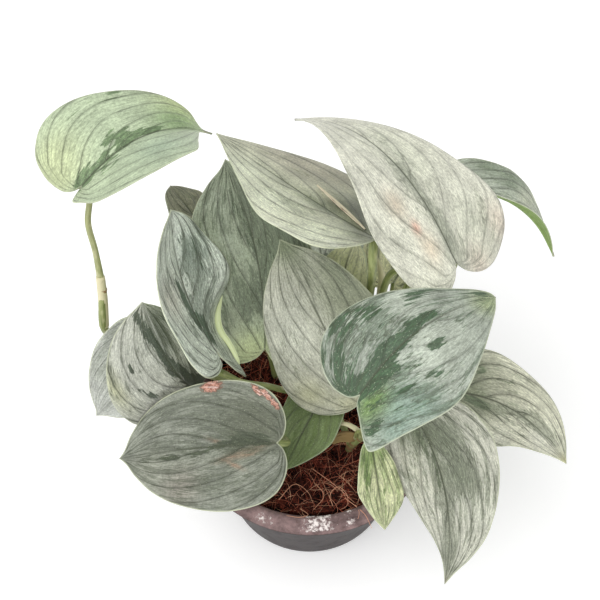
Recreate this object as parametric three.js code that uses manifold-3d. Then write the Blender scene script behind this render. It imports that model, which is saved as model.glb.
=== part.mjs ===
// A satin pothos in its plastic nursery pot.
// Millimetres, +Z up, origin at the middle of the pot's base, the plant's open side towards -Y.

import * as THREE from 'three';
import { mergeVertices } from 'three/addons/utils/BufferGeometryUtils.js';
import Module from 'manifold-3d';

const wasm = await Module();
wasm.setup();

// ---------------------------------------------------------------- driving dimensions

// The pot tapers from shoulder to base. Its lip falls by lipDrop from a crown round the mouth out
// to the rim, and its round edge and the underside below it take lipEdge and lipUnder.
const POT = { height: 68, rim: 50, mouth: 45, shoulder: 44.1, base: 35, wall: 1.4, floor: 2,
  lipDrop: 6, lipEdge: 0.6, lipUnder: 2.2, crown: 0.7, foot: 1.5 };
const DRAIN = { count: 6, radius: 3, circle: 23 };
const POT_SIDES = 48;

// The coir's top lies at COIR_TOP with lumps of COIR_RELIEF, flat along a border by the wall.
const COIR_TOP = 62;
const COIR_RELIEF = 1.2;
const COIR_BORDER = 8;
const COIR_BEVEL = { deep: 3, in: 0.6 };
const COIR_SIDES = 36;
const COIR_RINGS = 6;
const GAP = 0.35;

const STEM_RADIUS = 1.5;
const STALK_RADIUS = 1.2;
const SHEATH_RADIUS = 1.6;
const SHEATH_SHARE = 0.3;
const FOOT_DEPTH = 22;
const HOLE = { clear: 0.75, past: 12, sides: 10 };
const STALK_SIDES = 6;
const STALK_CLEAR = 0.35;
const STALK_LEAN = 0.3;
const STALK_APPROACH = { below: 6, behind: 1.5 };
const STALK_SEAT = { along: 0.02, behind: 0.5 };
const BUD_RINGS = 3;
const BUD_FULLNESS = 0.8;

const BLADE_THICKNESS = 0.9;
const MARGIN_STATIONS = 15;
const BLADE_ROWS = 3;

// ---------------------------------------------------------------- colours

const COLOURS = {
  plastic: { color: 0x2b2b2e, roughness: 0.6, metalness: 0 },
  coir: { color: 0x4a2c1c, roughness: 1, metalness: 0 },
  stem: { color: 0x8c9a55, roughness: 0.55, metalness: 0 },
  silver: { color: 0x9aa79a, roughness: 0.5, metalness: 0 },
};

// ---------------------------------------------------------------- the plant's layout

// Each blade has its stalk end (base), its point (tip) and its widest breadth, in mm. left and
// right lift each half from the rib, and roll turns the blade about its length, in degrees. bow
// arches the rib up, sweep bends it sideways and curl lifts the point, in mm. lobe scales the two
// heart lobes, blunt fills the flanks, belly slides the widest place towards the point, and wave
// ruffles the left and right margins by that many mm, from the phase given in degrees. skew is the
// share of breadth that the left half takes from the right one, turn is the extra lift, in degrees,
// of each half near the stalk, where nip is the share of breadth that it loses, and blob rounds the
// point. outlines may give the left or the right half a margin of its own, as in the flanks below.
const LEAVES = {
  leaf_top_left: { base: [-78, 37, 162], tip: [-35.9, 70.1, 150], width: 51, left: 12, right: 27, bow: 9,
    sweep: -3, outlines: [
      [[0, 0], [-0.05, 0.07], [-0.08, 0.2], [-0.08, 0.46], [-0.042, 0.725], [0.015, 0.88], [0.095, 0.99],
        [0.2, 1.015], [0.365, 0.96], [0.555, 0.8], [0.69, 0.665], [0.82, 0.52], [0.895, 0.36],
        [0.915, 0.15], [0.935, 0.045], [1, 0]],
      [[0, 0], [-0.06, 0.01], [-0.09, 0.06], [-0.07, 0.225], [-0.02, 0.575], [0.098, 0.85], [0.25, 0.965],
        [0.408, 1.02], [0.5, 1.065], [0.55, 1.06], [0.6, 0.92], [0.66, 0.72], [0.78, 0.37], [0.895, 0.05],
        [0.93, 0.04], [1, 0]]] },
  leaf_upper_middle: { base: [21, 17, 160], tip: [-34, 67, 154], width: 60, left: 2, right: 5, bow: -4,
    sweep: 5, roll: -30, lobe: 0.3, belly: -0.03 },
  leaf_upper_right: { base: [48, 13, 152], tip: [-6, 76, 151], width: 67, right: 6, bow: 17, sweep: -6,
    roll: -30, lobe: 0.6, blunt: -0.3, belly: -0.17, turn: [-30, 0], nip: [0.36, 0] },
  leaf_far_right: { base: [50, 58, 134], tip: [92, 42, 112], width: 37, skew: 0.15, right: 46, bow: 9,
    sweep: -3, roll: 10, lobe: 0.9, blunt: -0.1, outlines: [
      [[0, 0], [-0.05, 0.17], [-0.04, 0.4], [0, 0.6], [0.06, 0.7], [0.14, 0.74], [0.24, 0.74],
        [0.33, 0.75], [0.42, 0.75], [0.55, 0.6], [0.66, 0.37], [0.78, 0.18], [0.9, 0.05], [1, 0]],
      null] },
  leaf_centre_right: { base: [15, -34, 146], tip: [60, -2.2, 154], width: 49, right: 5, bow: 8,
    sweep: -2.6, roll: 5, outlines: [
      [[0, 0], [-0.03, 0.07], [-0.05, 0.18], [-0.057, 0.41], [-0.027, 0.645], [0.03, 0.83],
        [0.103, 0.935], [0.188, 0.965], [0.278, 0.945], [0.38, 0.88], [0.5, 0.75], [0.635, 0.55],
        [0.778, 0.345], [0.92, 0.2], [0.985, 0.1], [1, 0]],
      [[0, 0], [-0.045, 0.04], [-0.09, 0.19], [-0.125, 0.305], [-0.16, 0.435], [-0.18, 0.57],
        [-0.14, 0.675], [-0.06, 0.795], [0.073, 0.98], [0.217, 1.1], [0.352, 1.125], [0.468, 1.07],
        [0.578, 0.945], [0.708, 0.74], [0.835, 0.48], [0.94, 0.22], [1, 0]]] },
  leaf_centre: { base: [18, -13, 101], tip: [-11, 28, 144], width: 51, right: 2, bow: 4, sweep: 2,
    roll: 45, lobe: 0.5, blunt: 0.4 },
  leaf_back_centre: { base: [-17, 10, 98], tip: [-31, 60, 148], width: 56, left: 9, right: 15, bow: -3,
    sweep: 3, roll: 36, lobe: 0.7, blunt: 0.5, belly: 0.07 },
  leaf_left: { base: [-34, 0, 113], tip: [-49, 37, 149], width: 43, left: 12, right: 13, bow: -5,
    roll: -46, wave: [1, 3], phase: [0, 126], turn: [0, -38], outlines: [
      [[0, 0], [-0.06, 0.03], [-0.09, 0.085], [-0.12, 0.38], [-0.097, 0.705], [-0.015, 0.89], [0.103, 1],
        [0.305, 0.97], [0.488, 0.9], [0.662, 0.86], [0.785, 0.72], [0.9, 0.36], [0.958, 0.115], [1, 0]],
      [[0, 0], [-0.05, 0.06], [-0.087, 0.145], [-0.172, 0.37], [-0.242, 0.775], [-0.16, 0.675],
        [-0.09, 0.615], [0.035, 0.69], [0.135, 0.69], [0.2, 0.73], [0.26, 0.87], [0.33, 1.02],
        [0.42, 1.05], [0.575, 0.935], [0.698, 0.845], [0.845, 0.62], [0.943, 0.33], [1, 0]]] },
  leaf_far_left: { base: [-59, 13, 106], tip: [-82, -7, 76], width: 37, left: 7, right: 13, bow: 1,
    sweep: -3, roll: 46, lobe: 0.9, blunt: 0.4 },
  leaf_mid_left: { base: [-43, 2, 82], tip: [-59, 9, 133], width: 42, skew: 0.2, left: -4, right: -33,
    bow: 9, sweep: -4, roll: 33, lobe: 0.6, blunt: 0.2, belly: 0.15 },
  leaf_lower_left: { base: [-12, -29, 99], tip: [-72, -24, 74], width: 51, left: 26, right: 26,
    sweep: 1, roll: 25, lobe: 0.6, blunt: 0.3 },
  leaf_front_small: { base: [4, -6, 88], tip: [-10, -29, 74], width: 26, bow: 1, roll: -15, lobe: 0.9 },
  leaf_front_low: { base: [21.7, -24.2, 93], tip: [27, -51, 71], width: 19, left: 5, roll: 24, outlines: [
    [[0, 0], [-0.02, 0.12], [0.03, 0.255], [0.195, 0.62], [0.4, 0.96], [0.59, 1.07], [0.73, 0.965],
      [0.843, 0.68], [0.938, 0.31], [1, 0]],
    [[0, 0], [-0.02, 0.1], [0, 0.23], [0.09, 0.52], [0.242, 0.685], [0.393, 0.825], [0.497, 0.955],
      [0.56, 0.95], [0.635, 0.83], [0.78, 0.55], [0.907, 0.25], [1, 0]]] },
  leaf_lower_right: { base: [35.3, -19, 107], tip: [49, -68, 61], width: 51, bow: -4, sweep: -5, roll: -51,
    outlines: [
      [[0, 0], [-0.03, 0.08], [-0.02, 0.25], [-0.015, 0.5], [0.005, 0.745], [0.045, 0.94], [0.11, 1.06],
        [0.205, 1.12], [0.31, 1.04], [0.46, 0.88], [0.58, 0.75], [0.695, 0.6], [0.815, 0.365],
        [0.92, 0.135], [1, 0]],
      [[0, 0], [-0.032, 0.145], [-0.02, 0.41], [0.045, 0.76], [0.143, 0.94], [0.237, 1], [0.347, 0.94],
        [0.458, 0.81], [0.57, 0.65], [0.695, 0.45], [0.792, 0.25], [0.883, 0.1], [1, 0]]] },
  leaf_right: { base: [54, -11, 103], tip: [92, -33, 90], width: 38, left: 9, right: 4, sweep: -7,
    roll: 12, lobe: 0.9 },
  leaf_back_left: { base: [-42, 54, 114], tip: [-53, 64, 127], width: 22, left: 3, bow: 3, sweep: -2,
    roll: -18, lobe: 0.7, blunt: 0.4, blob: 0.6 },
  leaf_inner: { base: [13, 28, 106], tip: [17, 44, 121], width: 22, right: 5, bow: 6, sweep: 1,
    roll: 22, lobe: 0.7, blunt: 0.4 },
  leaf_rear_middle: { base: [6, 36, 96], tip: [2, 79, 80], width: 40, left: 8, right: 8, bow: 6 },
  leaf_rear_right: { base: [32, 36, 104], tip: [54, 72, 86], width: 36, left: 8, right: 8, bow: 6 },
  leaf_rear_left: { base: [-30, 36, 90], tip: [-50, 72, 76], width: 38, left: 8, right: 8, bow: 6 },
};

// Each vine has the spot where it leaves the coir, the points that its stem then follows, and
// the stalks that it carries: each leaves the stem at a height and passes the points given.
const VINES = {
  vine_left: {
    stem: [[-26, 10, 62], [-28, 11, 68], [-50, 18, 78], [-72, 20, 92], [-76, 13, 108], [-75, 20, 124]],
    stalks: [
      { leaf: 'leaf_top_left', from: 1, via: [[-76, 26.6, 138], [-77.4, 31.5, 149]], slim: 0.92 },
      { leaf: 'leaf_far_left', from: 0.45, via: [] },
      { leaf: 'leaf_mid_left', from: 0.12, via: [] },
    ],
    buds: [{ line: [[-75.2, 22, 129], [-75.3, 18.3, 120], [-76, 13.4, 109]], radius: 1.85,
      swell: [0.68, 0.5] }],
  },
  vine_back: {
    stem: [[-14, 18, 62], [-16, 21, 76], [-22, 26, 90]],
    stalks: [
      { leaf: 'leaf_back_centre', from: 0.6, via: [] },
      { leaf: 'leaf_back_left', from: 1, via: [[-36, 46, 102]] },
      { leaf: 'leaf_rear_left', from: 0.5, via: [] },
    ],
  },
  vine_centre: {
    stem: [[6, 12, 62], [10, 14, 84], [20, 16, 108]],
    stalks: [
      { leaf: 'leaf_upper_middle', from: 1, via: [[21, 17, 128]], slim: 1.25 },
      { leaf: 'leaf_inner', from: 0.7, via: [] },
      { leaf: 'leaf_rear_middle', from: 0.5, via: [] },
      { leaf: 'leaf_centre', from: 0.4, via: [] },
      { leaf: 'leaf_left', from: 0.25,
        via: [[-1, 4, 78], [-8.3, 0.6, 82], [-16.3, -1.6, 90], [-26, -3.7, 97.5]] },
    ],
  },
  vine_right: {
    stem: [[27, 6, 62], [28, 8, 84], [26, 13, 110]],
    stalks: [
      { leaf: 'leaf_upper_right', from: 1, via: [[25, 15, 123], [28.8, 18, 139]], slim: 1.1 },
      { leaf: 'leaf_far_right', from: 0.85, via: [] },
      { leaf: 'leaf_rear_right', from: 0.7, via: [] },
      { leaf: 'leaf_right', from: 0.5, via: [] },
    ],
    buds: [{ line: [[27, 12, 104], [25.8, 20, 116], [25.5, 24, 126], [23.5, 27.6, 133]], radius: 2 }],
  },
  vine_front: {
    stem: [[15, -15, 62], [16, -16, 70], [19, -18, 80]],
    stalks: [
      { leaf: 'leaf_centre_right', from: 1, via: [] },
      { leaf: 'leaf_lower_right', from: 0.3, via: [[30, -7, 80], [40, -6, 94]] },
      { leaf: 'leaf_front_low', from: 0.6, via: [], slim: 0.6 },
      { leaf: 'leaf_front_small', from: 0.4, via: [] },
    ],
    buds: [{ line: [[19, -17.5, 79], [17.8, -17.2, 83.8], [13, -15.9, 87], [10, -15.8, 86.4],
      [9.2, -16.8, 85]], radius: 1 }],
  },
  vine_front_left: {
    stem: [[-16, -8, 62], [-17, -9, 68], [-18, -10, 75]],
    stalks: [{ leaf: 'leaf_lower_left', from: 1, via: [] }],
  },
};

// ---------------------------------------------------------------- small helpers

const rad = THREE.MathUtils.degToRad;
const vector = (p) => new THREE.Vector3(...p);

/** Makes a manifold-3d solid from a closed geometry. */
function solid(geometry) {
  const bare = geometry.clone();
  bare.deleteAttribute('normal');
  bare.deleteAttribute('uv');
  const merged = mergeVertices(bare, 1e-4);
  return new wasm.Manifold(new wasm.Mesh({
    numProp: 3,
    vertProperties: Float32Array.from(merged.attributes.position.array),
    triVerts: Uint32Array.from(merged.index.array),
  }));
}

/** Turns a manifold-3d solid back into a geometry. */
function geometryOf(body) {
  const mesh = body.getMesh();
  const geometry = new THREE.BufferGeometry();
  geometry.setAttribute('position', new THREE.BufferAttribute(mesh.vertProperties, 3));
  geometry.setIndex(new THREE.BufferAttribute(mesh.triVerts, 1));
  geometry.computeVertexNormals();
  return geometry;
}

/** Names a geometry as one piece of the plant, in its own material. */
function piece(name, geometry, colour) {
  const mesh = new THREE.Mesh(geometry, new THREE.MeshStandardMaterial(COLOURS[colour]));
  mesh.name = name;
  return mesh;
}

/** Makes a closed geometry from points and triangles of their numbers. */
function closed(points, triangles) {
  const geometry = new THREE.BufferGeometry();
  geometry.setAttribute('position', new THREE.Float32BufferAttribute(points.flatMap((p) => p.toArray()), 3));
  geometry.setIndex(triangles.flat());
  geometry.computeVertexNormals();
  return geometry;
}

/** An upright cylinder round +Z, centred on the origin. */
function upright(radius, height, sides) {
  return new THREE.CylinderGeometry(radius, radius, height, sides).rotateX(Math.PI / 2);
}

/** Turns a profile of (radius, height) round +Z. */
function turned(profile, sides) {
  const lathe = new THREE.LatheGeometry(profile.map(([r, z]) => new THREE.Vector2(r, z)), sides);
  return lathe.rotateX(Math.PI / 2);
}

// ---------------------------------------------------------------- pot and coir

/** The pot: a tapered shell with a sloping lip and a ring of drain holes. */
function makePot() {
  const { height, rim, mouth, shoulder, base, wall, floor, lipDrop, lipEdge, lipUnder, crown, foot } = POT;
  const lip = height - lipDrop;
  const outline = [
    [0, 0], [base - foot, 0], [base, foot], [shoulder, lip - lipUnder], [rim - 2 * lipEdge, lip - lipEdge],
    [rim, lip], [mouth + crown, height], [mouth - crown, height - crown / 2], [shoulder - wall, lip],
    [base - wall, floor], [0, floor],
  ];
  let body = solid(turned(outline, POT_SIDES));
  for (let k = 0; k < DRAIN.count; k += 1) {
    const angle = (k / DRAIN.count) * 2 * Math.PI;
    const hole = upright(DRAIN.radius, 3 * floor, 2 * DRAIN.count);
    hole.translate(DRAIN.circle * Math.cos(angle), DRAIN.circle * Math.sin(angle), floor / 2);
    body = body.subtract(solid(hole));
  }
  return piece('pot', geometryOf(body), 'plastic');
}

/** The height of the coir's crumbly top at a place, in mm. */
function coirHeight(x, y) {
  const inside = (POT.shoulder - 2 * POT.wall - Math.hypot(x, y)) / COIR_BORDER;
  const lumps = Math.sin(0.31 * x + 0.6) * Math.cos(0.27 * y - 0.4) + 0.6 * Math.sin(0.63 * y + 0.35 * x);
  return COIR_TOP + COIR_RELIEF * THREE.MathUtils.clamp(inside, 0, 1) * lumps;
}

/** The coir that fills the pot, with a plain hole for each stem. */
function makeCoir() {
  const { height, shoulder, base, wall, floor, lipDrop } = POT;
  const inset = wall + 3 * GAP;
  const topRadius = shoulder - inset - COIR_BEVEL.in;
  const profile = [[0, floor + GAP], [base - inset, floor + GAP],
    [shoulder - inset, height - lipDrop - COIR_BEVEL.deep], [topRadius, COIR_TOP - COIR_BEVEL.in]];
  for (let ring = COIR_RINGS - 1; ring >= 0; ring -= 1) {
    profile.push([(topRadius * ring) / COIR_RINGS, COIR_TOP]);
  }
  const geometry = turned(profile, COIR_SIDES);
  const place = geometry.attributes.position;
  for (let k = 0; k < place.count; k += 1) {
    if (place.getZ(k) > COIR_TOP - COIR_BEVEL.in / 2) {
      place.setZ(k, coirHeight(place.getX(k), place.getY(k)));
    }
  }
  let body = solid(geometry);
  for (const { stem } of Object.values(VINES)) {
    const [x, y] = stem[0];
    const hole = upright(STEM_RADIUS + HOLE.clear, FOOT_DEPTH + HOLE.past, HOLE.sides);
    hole.translate(x, y, COIR_TOP - GAP + (HOLE.past - FOOT_DEPTH) / 2 - HOLE.clear);
    body = body.subtract(solid(hole));
  }
  return piece('coir', geometryOf(body), 'coir');
}

// ---------------------------------------------------------------- leaf blades

// Half of a blade's margin, from the stalk round the heart lobe to the point: the place along
// the rib and the share of the half breadth.
const SLIM_FLANK = [[0, 0], [-0.075, 0.12], [-0.125, 0.32], [-0.12, 0.54], [-0.055, 0.76], [0.06, 0.92],
  [0.22, 1], [0.4, 0.96], [0.58, 0.8], [0.74, 0.56], [0.87, 0.3], [0.95, 0.11], [1, 0]];
const BLUNT_FLANK = [[0, 0], [-0.075, 0.12], [-0.125, 0.32], [-0.12, 0.54], [-0.055, 0.76], [0.06, 0.92],
  [0.22, 1], [0.42, 1], [0.62, 0.92], [0.78, 0.74], [0.88, 0.46], [0.94, 0.16], [1, 0]];
// How much breadth a rounded point gains at each of those places.
const ROUND_TIP = [0, 0, 0, 0, 0, 0, 0, 0, 0, 0.05, 0.15, 0.2, 0];
const VEIN_FAN = 0.3;
const WAVES = 1.6;
const TURN_FADE = [0.05, 0.4];

/** A blade's bent surface, worked out from its line in LEAVES. */
class Blade {
  constructor(sizes) {
    const plain = { left: 0, right: 0, roll: 0, bow: 0, sweep: 0, curl: 0, lobe: 1, blunt: 0, belly: 0,
      blob: 0, skew: 0, wave: [1, 1], phase: [0, 90], turn: [0, 0], nip: [0, 0], outlines: [null, null] };
    Object.assign(this, plain, sizes);
    this.half = this.width / 2;
    this.base = vector(this.base);
    this.tip = vector(this.tip);
    const along = this.tip.clone().sub(this.base).normalize();
    const side = along.clone().cross(new THREE.Vector3(0, 0, 1)).normalize();
    const up = side.clone().cross(along);
    const [c, s] = [Math.cos(rad(this.roll)), Math.sin(rad(this.roll))];
    this.side = side.clone().multiplyScalar(c).addScaledVector(up, s);
    this.up = up.clone().multiplyScalar(c).addScaledVector(side, -s);
    this.middle = this.base.clone().add(this.tip).multiplyScalar(0.5)
      .addScaledVector(this.up, 2 * this.bow).addScaledVector(this.side, 2 * this.sweep);
    this.margins = this.outlines.map((outline) => new THREE.SplineCurve(
      (outline ?? this.flank()).map(([t, w]) => new THREE.Vector2(t, w))));
  }

  /** A plain half's margin, worked out from the slim flank and the blunt one. */
  flank() {
    return SLIM_FLANK.map(([t, w], k) => {
      const mixed = t + this.blunt * (BLUNT_FLANK[k][0] - t);
      const share = w + this.blunt * (BLUNT_FLANK[k][1] - w) + this.blob * ROUND_TIP[k];
      return [mixed < 0 ? mixed * this.lobe : mixed + this.belly * 4 * mixed * (1 - mixed), share];
    });
  }

  /** The rib at t, 0 at the stalk and 1 at the point; below 0 it runs straight on into the lobes. */
  rib(t) {
    const k = Math.min(1, Math.max(0, t));
    const p = this.base.clone().multiplyScalar((1 - k) ** 2)
      .addScaledVector(this.middle, 2 * k * (1 - k)).addScaledVector(this.tip, k * k);
    p.addScaledVector(this.middle.clone().sub(this.base), 2 * Math.min(0, t));
    return p.addScaledVector(this.up, this.curl * Math.max(0, (t - 0.7) / 0.3) ** 2);
  }

  /** The rib's direction, the way across it and the upper face's direction at t. */
  frame(t) {
    const step = 1e-3;
    const along = this.rib(t + step).sub(this.rib(t - step)).normalize();
    const side = this.side.clone().addScaledVector(along, -along.dot(this.side)).normalize();
    return { along, side, up: side.clone().cross(along) };
  }

  /** The middle of the blade's thickness at t along the rib and w mm across it. */
  point(t, w) {
    const { side, up } = this.frame(t);
    const half = w < 0 ? 0 : 1;
    const nearStalk = 1 - THREE.MathUtils.smoothstep(t, ...TURN_FADE);
    const lift = rad((half ? this.right : this.left) + this.turn[half] * nearStalk);
    const share = (half ? 1 - this.skew : 1 + this.skew) * (1 - this.nip[half] * nearStalk);
    const out = Math.abs(w) * share;
    const cycle = Math.sin(2 * Math.PI * WAVES * t + rad(this.phase[half]));
    const ruffle = this.wave[half] * (out / this.half) ** 2 * cycle;
    return this.rib(t).addScaledVector(side, Math.sign(w) * out * Math.cos(lift))
      .addScaledVector(up, out * Math.sin(lift) + ruffle);
  }

  /** The upper face's direction at (t, w). On the rib it is the rib's own. */
  normal(t, w) {
    if (Math.abs(w) < 1e-6) {
      return this.frame(t).up;
    }
    const step = 0.02;
    const inward = w - Math.sign(w) * step * this.half;
    const alongT = this.point(t + step, w).sub(this.point(t - step, w));
    const alongW = this.point(t, w).sub(this.point(t, inward)).multiplyScalar(Math.sign(w));
    return alongW.cross(alongT).normalize();
  }
}

/** A blade's closed solid: both faces share one pattern of triangles, joined round the margin. */
function bladeGeometry(sizes) {
  const blade = new Blade(sizes);
  const stations = MARGIN_STATIONS;
  const rows = BLADE_ROWS;
  const flat = [];
  const ids = new Map();
  const vertex = (sideways, i, j) => {
    const share = i / stations;
    const rib = Math.max(0, (share - VEIN_FAN) / (1 - VEIN_FAN));
    const edge = blade.margins[sideways < 0 ? 0 : 1].getPoint(share);
    const q = j / rows;
    const t = i === 0 ? 0 : (1 - q) * rib + q * edge.x;
    const w = i === stations ? 0 : q * edge.y * blade.half * sideways;
    const key = `${t.toFixed(5)},${w.toFixed(4)}`;
    if (!ids.has(key)) {
      ids.set(key, flat.length);
      flat.push([t, w]);
    }
    return ids.get(key);
  };
  const upper = [];
  const margin = [];
  for (const sideways of [-1, 1]) {
    for (let i = 0; i < stations; i += 1) {
      for (let j = 0; j < rows; j += 1) {
        const [a, b] = [vertex(sideways, i, j), vertex(sideways, i, j + 1)];
        const [c, d] = [vertex(sideways, i + 1, j + 1), vertex(sideways, i + 1, j)];
        for (const triangle of [[a, b, c], [a, c, d]]) {
          if (new Set(triangle).size === 3) {
            upper.push(sideways > 0 ? triangle : triangle.reverse());
          }
        }
      }
      const edge = [vertex(sideways, i, rows), vertex(sideways, i + 1, rows)];
      margin.push(sideways > 0 ? edge : edge.reverse());
    }
  }
  const count = flat.length;
  const points = [];
  for (const face of [1, -1]) {
    for (const [t, w] of flat) {
      points.push(blade.point(t, w).addScaledVector(blade.normal(t, w), (face * BLADE_THICKNESS) / 2));
    }
  }
  const lower = upper.map(([a, b, c]) => [a + count, c + count, b + count]);
  const rim = margin.flatMap(([a, b]) => [[a, a + count, b], [b, a + count, b + count]]);
  return closed(points, [...upper, ...lower, ...rim]);
}

// ---------------------------------------------------------------- vines

/** A round shoot along a curve, closed at both ends, with its radius from a function of 0 to 1. */
function shoot(curve, rings, radiusAt) {
  const frames = curve.computeFrenetFrames(rings);
  const points = [curve.getPointAt(0)];
  for (let k = 0; k <= rings; k += 1) {
    const centre = curve.getPointAt(k / rings);
    for (let n = 0; n < STALK_SIDES; n += 1) {
      const angle = (n / STALK_SIDES) * 2 * Math.PI;
      const r = radiusAt(k / rings);
      points.push(centre.clone().addScaledVector(frames.normals[k], r * Math.cos(angle))
        .addScaledVector(frames.binormals[k], r * Math.sin(angle)));
    }
  }
  points.push(curve.getPointAt(1));
  const at = (k, n) => 1 + k * STALK_SIDES + (n % STALK_SIDES);
  const triangles = [];
  for (let n = 0; n < STALK_SIDES; n += 1) {
    triangles.push([0, at(0, n + 1), at(0, n)], [points.length - 1, at(rings, n), at(rings, n + 1)]);
    for (let k = 0; k < rings; k += 1) {
      triangles.push([at(k, n), at(k, n + 1), at(k + 1, n)], [at(k, n + 1), at(k + 1, n + 1), at(k + 1, n)]);
    }
  }
  return closed(points, triangles);
}

/** The last two points of a stalk's route. It ends with its radius a small gap below the blade. */
function seat(blade, radius) {
  const { along, up } = blade.frame(STALK_SEAT.along);
  const lowest = Math.min(blade.left + blade.turn[0], blade.right + blade.turn[1]);
  const droop = Math.max(0, -Math.sin(rad(lowest)));
  const drop = BLADE_THICKNESS / 2 + STALK_CLEAR + radius * (STALK_LEAN + droop);
  const end = blade.rib(STALK_SEAT.along).addScaledVector(up, -drop)
    .addScaledVector(along, -STALK_SEAT.behind);
  const approach = end.clone().addScaledVector(up, -STALK_APPROACH.below)
    .addScaledVector(along, -STALK_APPROACH.behind);
  return [approach, end];
}

/** A smooth line through points. */
function through(points) {
  return new THREE.CatmullRomCurve3(points, false, 'centripetal');
}

/** A leaf stalk, from its height on the stem to its seat under the blade. */
function makeStalk(stemLine, { leaf, from, via, slim = 1 }) {
  const top = seat(new Blade(LEAVES[leaf]), slim * STALK_RADIUS);
  const route = through([stemLine.getPoint(from), ...via.map(vector), ...top]);
  return shoot(route, 7 + 2 * via.length, (share) => {
    const sheathEnd = Math.min(1, share / SHEATH_SHARE);
    return slim * THREE.MathUtils.lerp(SHEATH_RADIUS, STALK_RADIUS, sheathEnd);
  });
}

/** A slender bud. swell is the stretch of a half turn that its thickness follows, widest at 0.5. */
function makeBud({ line, radius, swell = [0.2, 0.97] }) {
  return shoot(through(line.map(vector)), BUD_RINGS * (line.length - 1), (share) => (
    radius * Math.sin(Math.PI * THREE.MathUtils.lerp(...swell, share)) ** BUD_FULLNESS));
}

/** One vine: its stem, its leaf stalks and its buds, grown together. */
function makeVine(name, { stem, stalks, buds = [] }) {
  const above = through(stem.map(vector));
  const foot = [FOOT_DEPTH, FOOT_DEPTH / 2].map((depth) => vector(stem[0]).setZ(COIR_TOP - depth));
  const whole = through([...foot, ...stem.map(vector)]);
  let body = solid(shoot(whole, 4 + 3 * stem.length, () => STEM_RADIUS));
  for (const stalk of stalks) {
    body = body.add(solid(makeStalk(above, stalk)));
  }
  for (const bud of buds) {
    body = body.add(solid(makeBud(bud)));
  }
  return piece(name, geometryOf(body), 'stem');
}

// ---------------------------------------------------------------- the whole plant

const plant = new THREE.Group();
plant.add(makePot(), makeCoir());
for (const [name, sizes] of Object.entries(VINES)) {
  plant.add(makeVine(name, sizes));
}
for (const [name, sizes] of Object.entries(LEAVES)) {
  plant.add(piece(name, bladeGeometry(sizes), 'silver'));
}

export default plant;
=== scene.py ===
"""A satin pothos in its plastic nursery pot, dressed for the studio.

Sizes are in millimetres until a mesh is made, and every mesh is in metres. The origin is the middle
of the pot's base, +Z is up, and the plant's open side, where the coir shows, faces -Y.
"""

import logging
import math
from collections.abc import Sequence
from dataclasses import dataclass, field
from enum import Enum

import bpy
import numpy as np
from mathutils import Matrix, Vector, noise

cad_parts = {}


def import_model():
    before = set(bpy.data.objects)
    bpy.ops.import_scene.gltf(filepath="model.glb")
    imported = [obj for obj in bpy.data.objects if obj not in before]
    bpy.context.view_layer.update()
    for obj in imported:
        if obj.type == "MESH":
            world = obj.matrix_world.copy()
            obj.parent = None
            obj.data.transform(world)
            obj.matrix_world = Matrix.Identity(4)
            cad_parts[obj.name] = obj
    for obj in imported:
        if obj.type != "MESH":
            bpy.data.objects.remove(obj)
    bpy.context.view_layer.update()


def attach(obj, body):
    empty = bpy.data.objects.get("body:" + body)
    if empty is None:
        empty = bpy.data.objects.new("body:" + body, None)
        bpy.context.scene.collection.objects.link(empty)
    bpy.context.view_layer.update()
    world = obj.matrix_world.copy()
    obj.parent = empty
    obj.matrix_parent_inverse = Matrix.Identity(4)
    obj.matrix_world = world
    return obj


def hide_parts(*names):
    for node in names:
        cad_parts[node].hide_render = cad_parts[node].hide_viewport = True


log = logging.getLogger("satin_pothos")

MM = 0.001
BODY = "root"
UP = np.array([0.0, 0.0, 1.0])

Array = np.ndarray
Point = tuple[float, float, float]
Pair = tuple[float, float]
Tone = tuple[int, int, int]
Piece = bpy.types.Object
Material = bpy.types.Material
Socket = bpy.types.NodeSocket
Value = float | Socket

# The tone of a stain that only moves the pattern.
NEUTRAL: Tone = (128, 128, 128)


class Slot(Enum):
    """The record's material slots."""

    PLASTIC = "pot_plastic"
    COIR = "coir"
    STEM = "stem"
    BLADE = "blade"


class Op(Enum):
    """The sums that the shader graphs use."""

    ADD = "ADD"
    SUBTRACT = "SUBTRACT"
    MULTIPLY = "MULTIPLY"
    DIVIDE = "DIVIDE"
    ABSOLUTE = "ABSOLUTE"
    FRACTION = "FRACT"
    GREATER = "GREATER_THAN"
    LARGER = "MAXIMUM"


# ---- small sums


def linear(tone: Tone) -> tuple[float, float, float]:
    """Turns a tone of 0 to 255 as seen on a screen into linear light."""
    parts = (c / 255 for c in tone)
    return tuple(c / 12.92 if c <= 0.04045 else ((c + 0.055) / 1.055) ** 2.4 for c in parts)


def unit(vectors: Array) -> Array:
    """Scales each vector to length one."""
    return vectors / np.maximum(np.linalg.norm(vectors, axis=-1, keepdims=True), 1e-12)


def smooth(values: Array, low: float, high: float) -> Array:
    """Rises smoothly from 0 at low to 1 at high."""
    share = np.clip((values - low) / (high - low), 0, 1)
    return share * share * (3 - 2 * share)


def hermite(ends: tuple[Array, Array], slopes: tuple[Array, Array], share: Array) -> Array:
    """The cubic between two ends with the given slopes.

    Args:
        ends: The values at 0 and at 1.
        slopes: The slopes at 0 and at 1.
        share: Where between them, from 0 to 1.

    Returns:
        The cubic's value at each share.
    """
    (a, b), (m, n) = ends, slopes
    s2, s3 = share**2, share**3
    return a + m * share + (3 * (b - a) - 2 * m - n) * s2 + (2 * (a - b) + m + n) * s3


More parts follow.
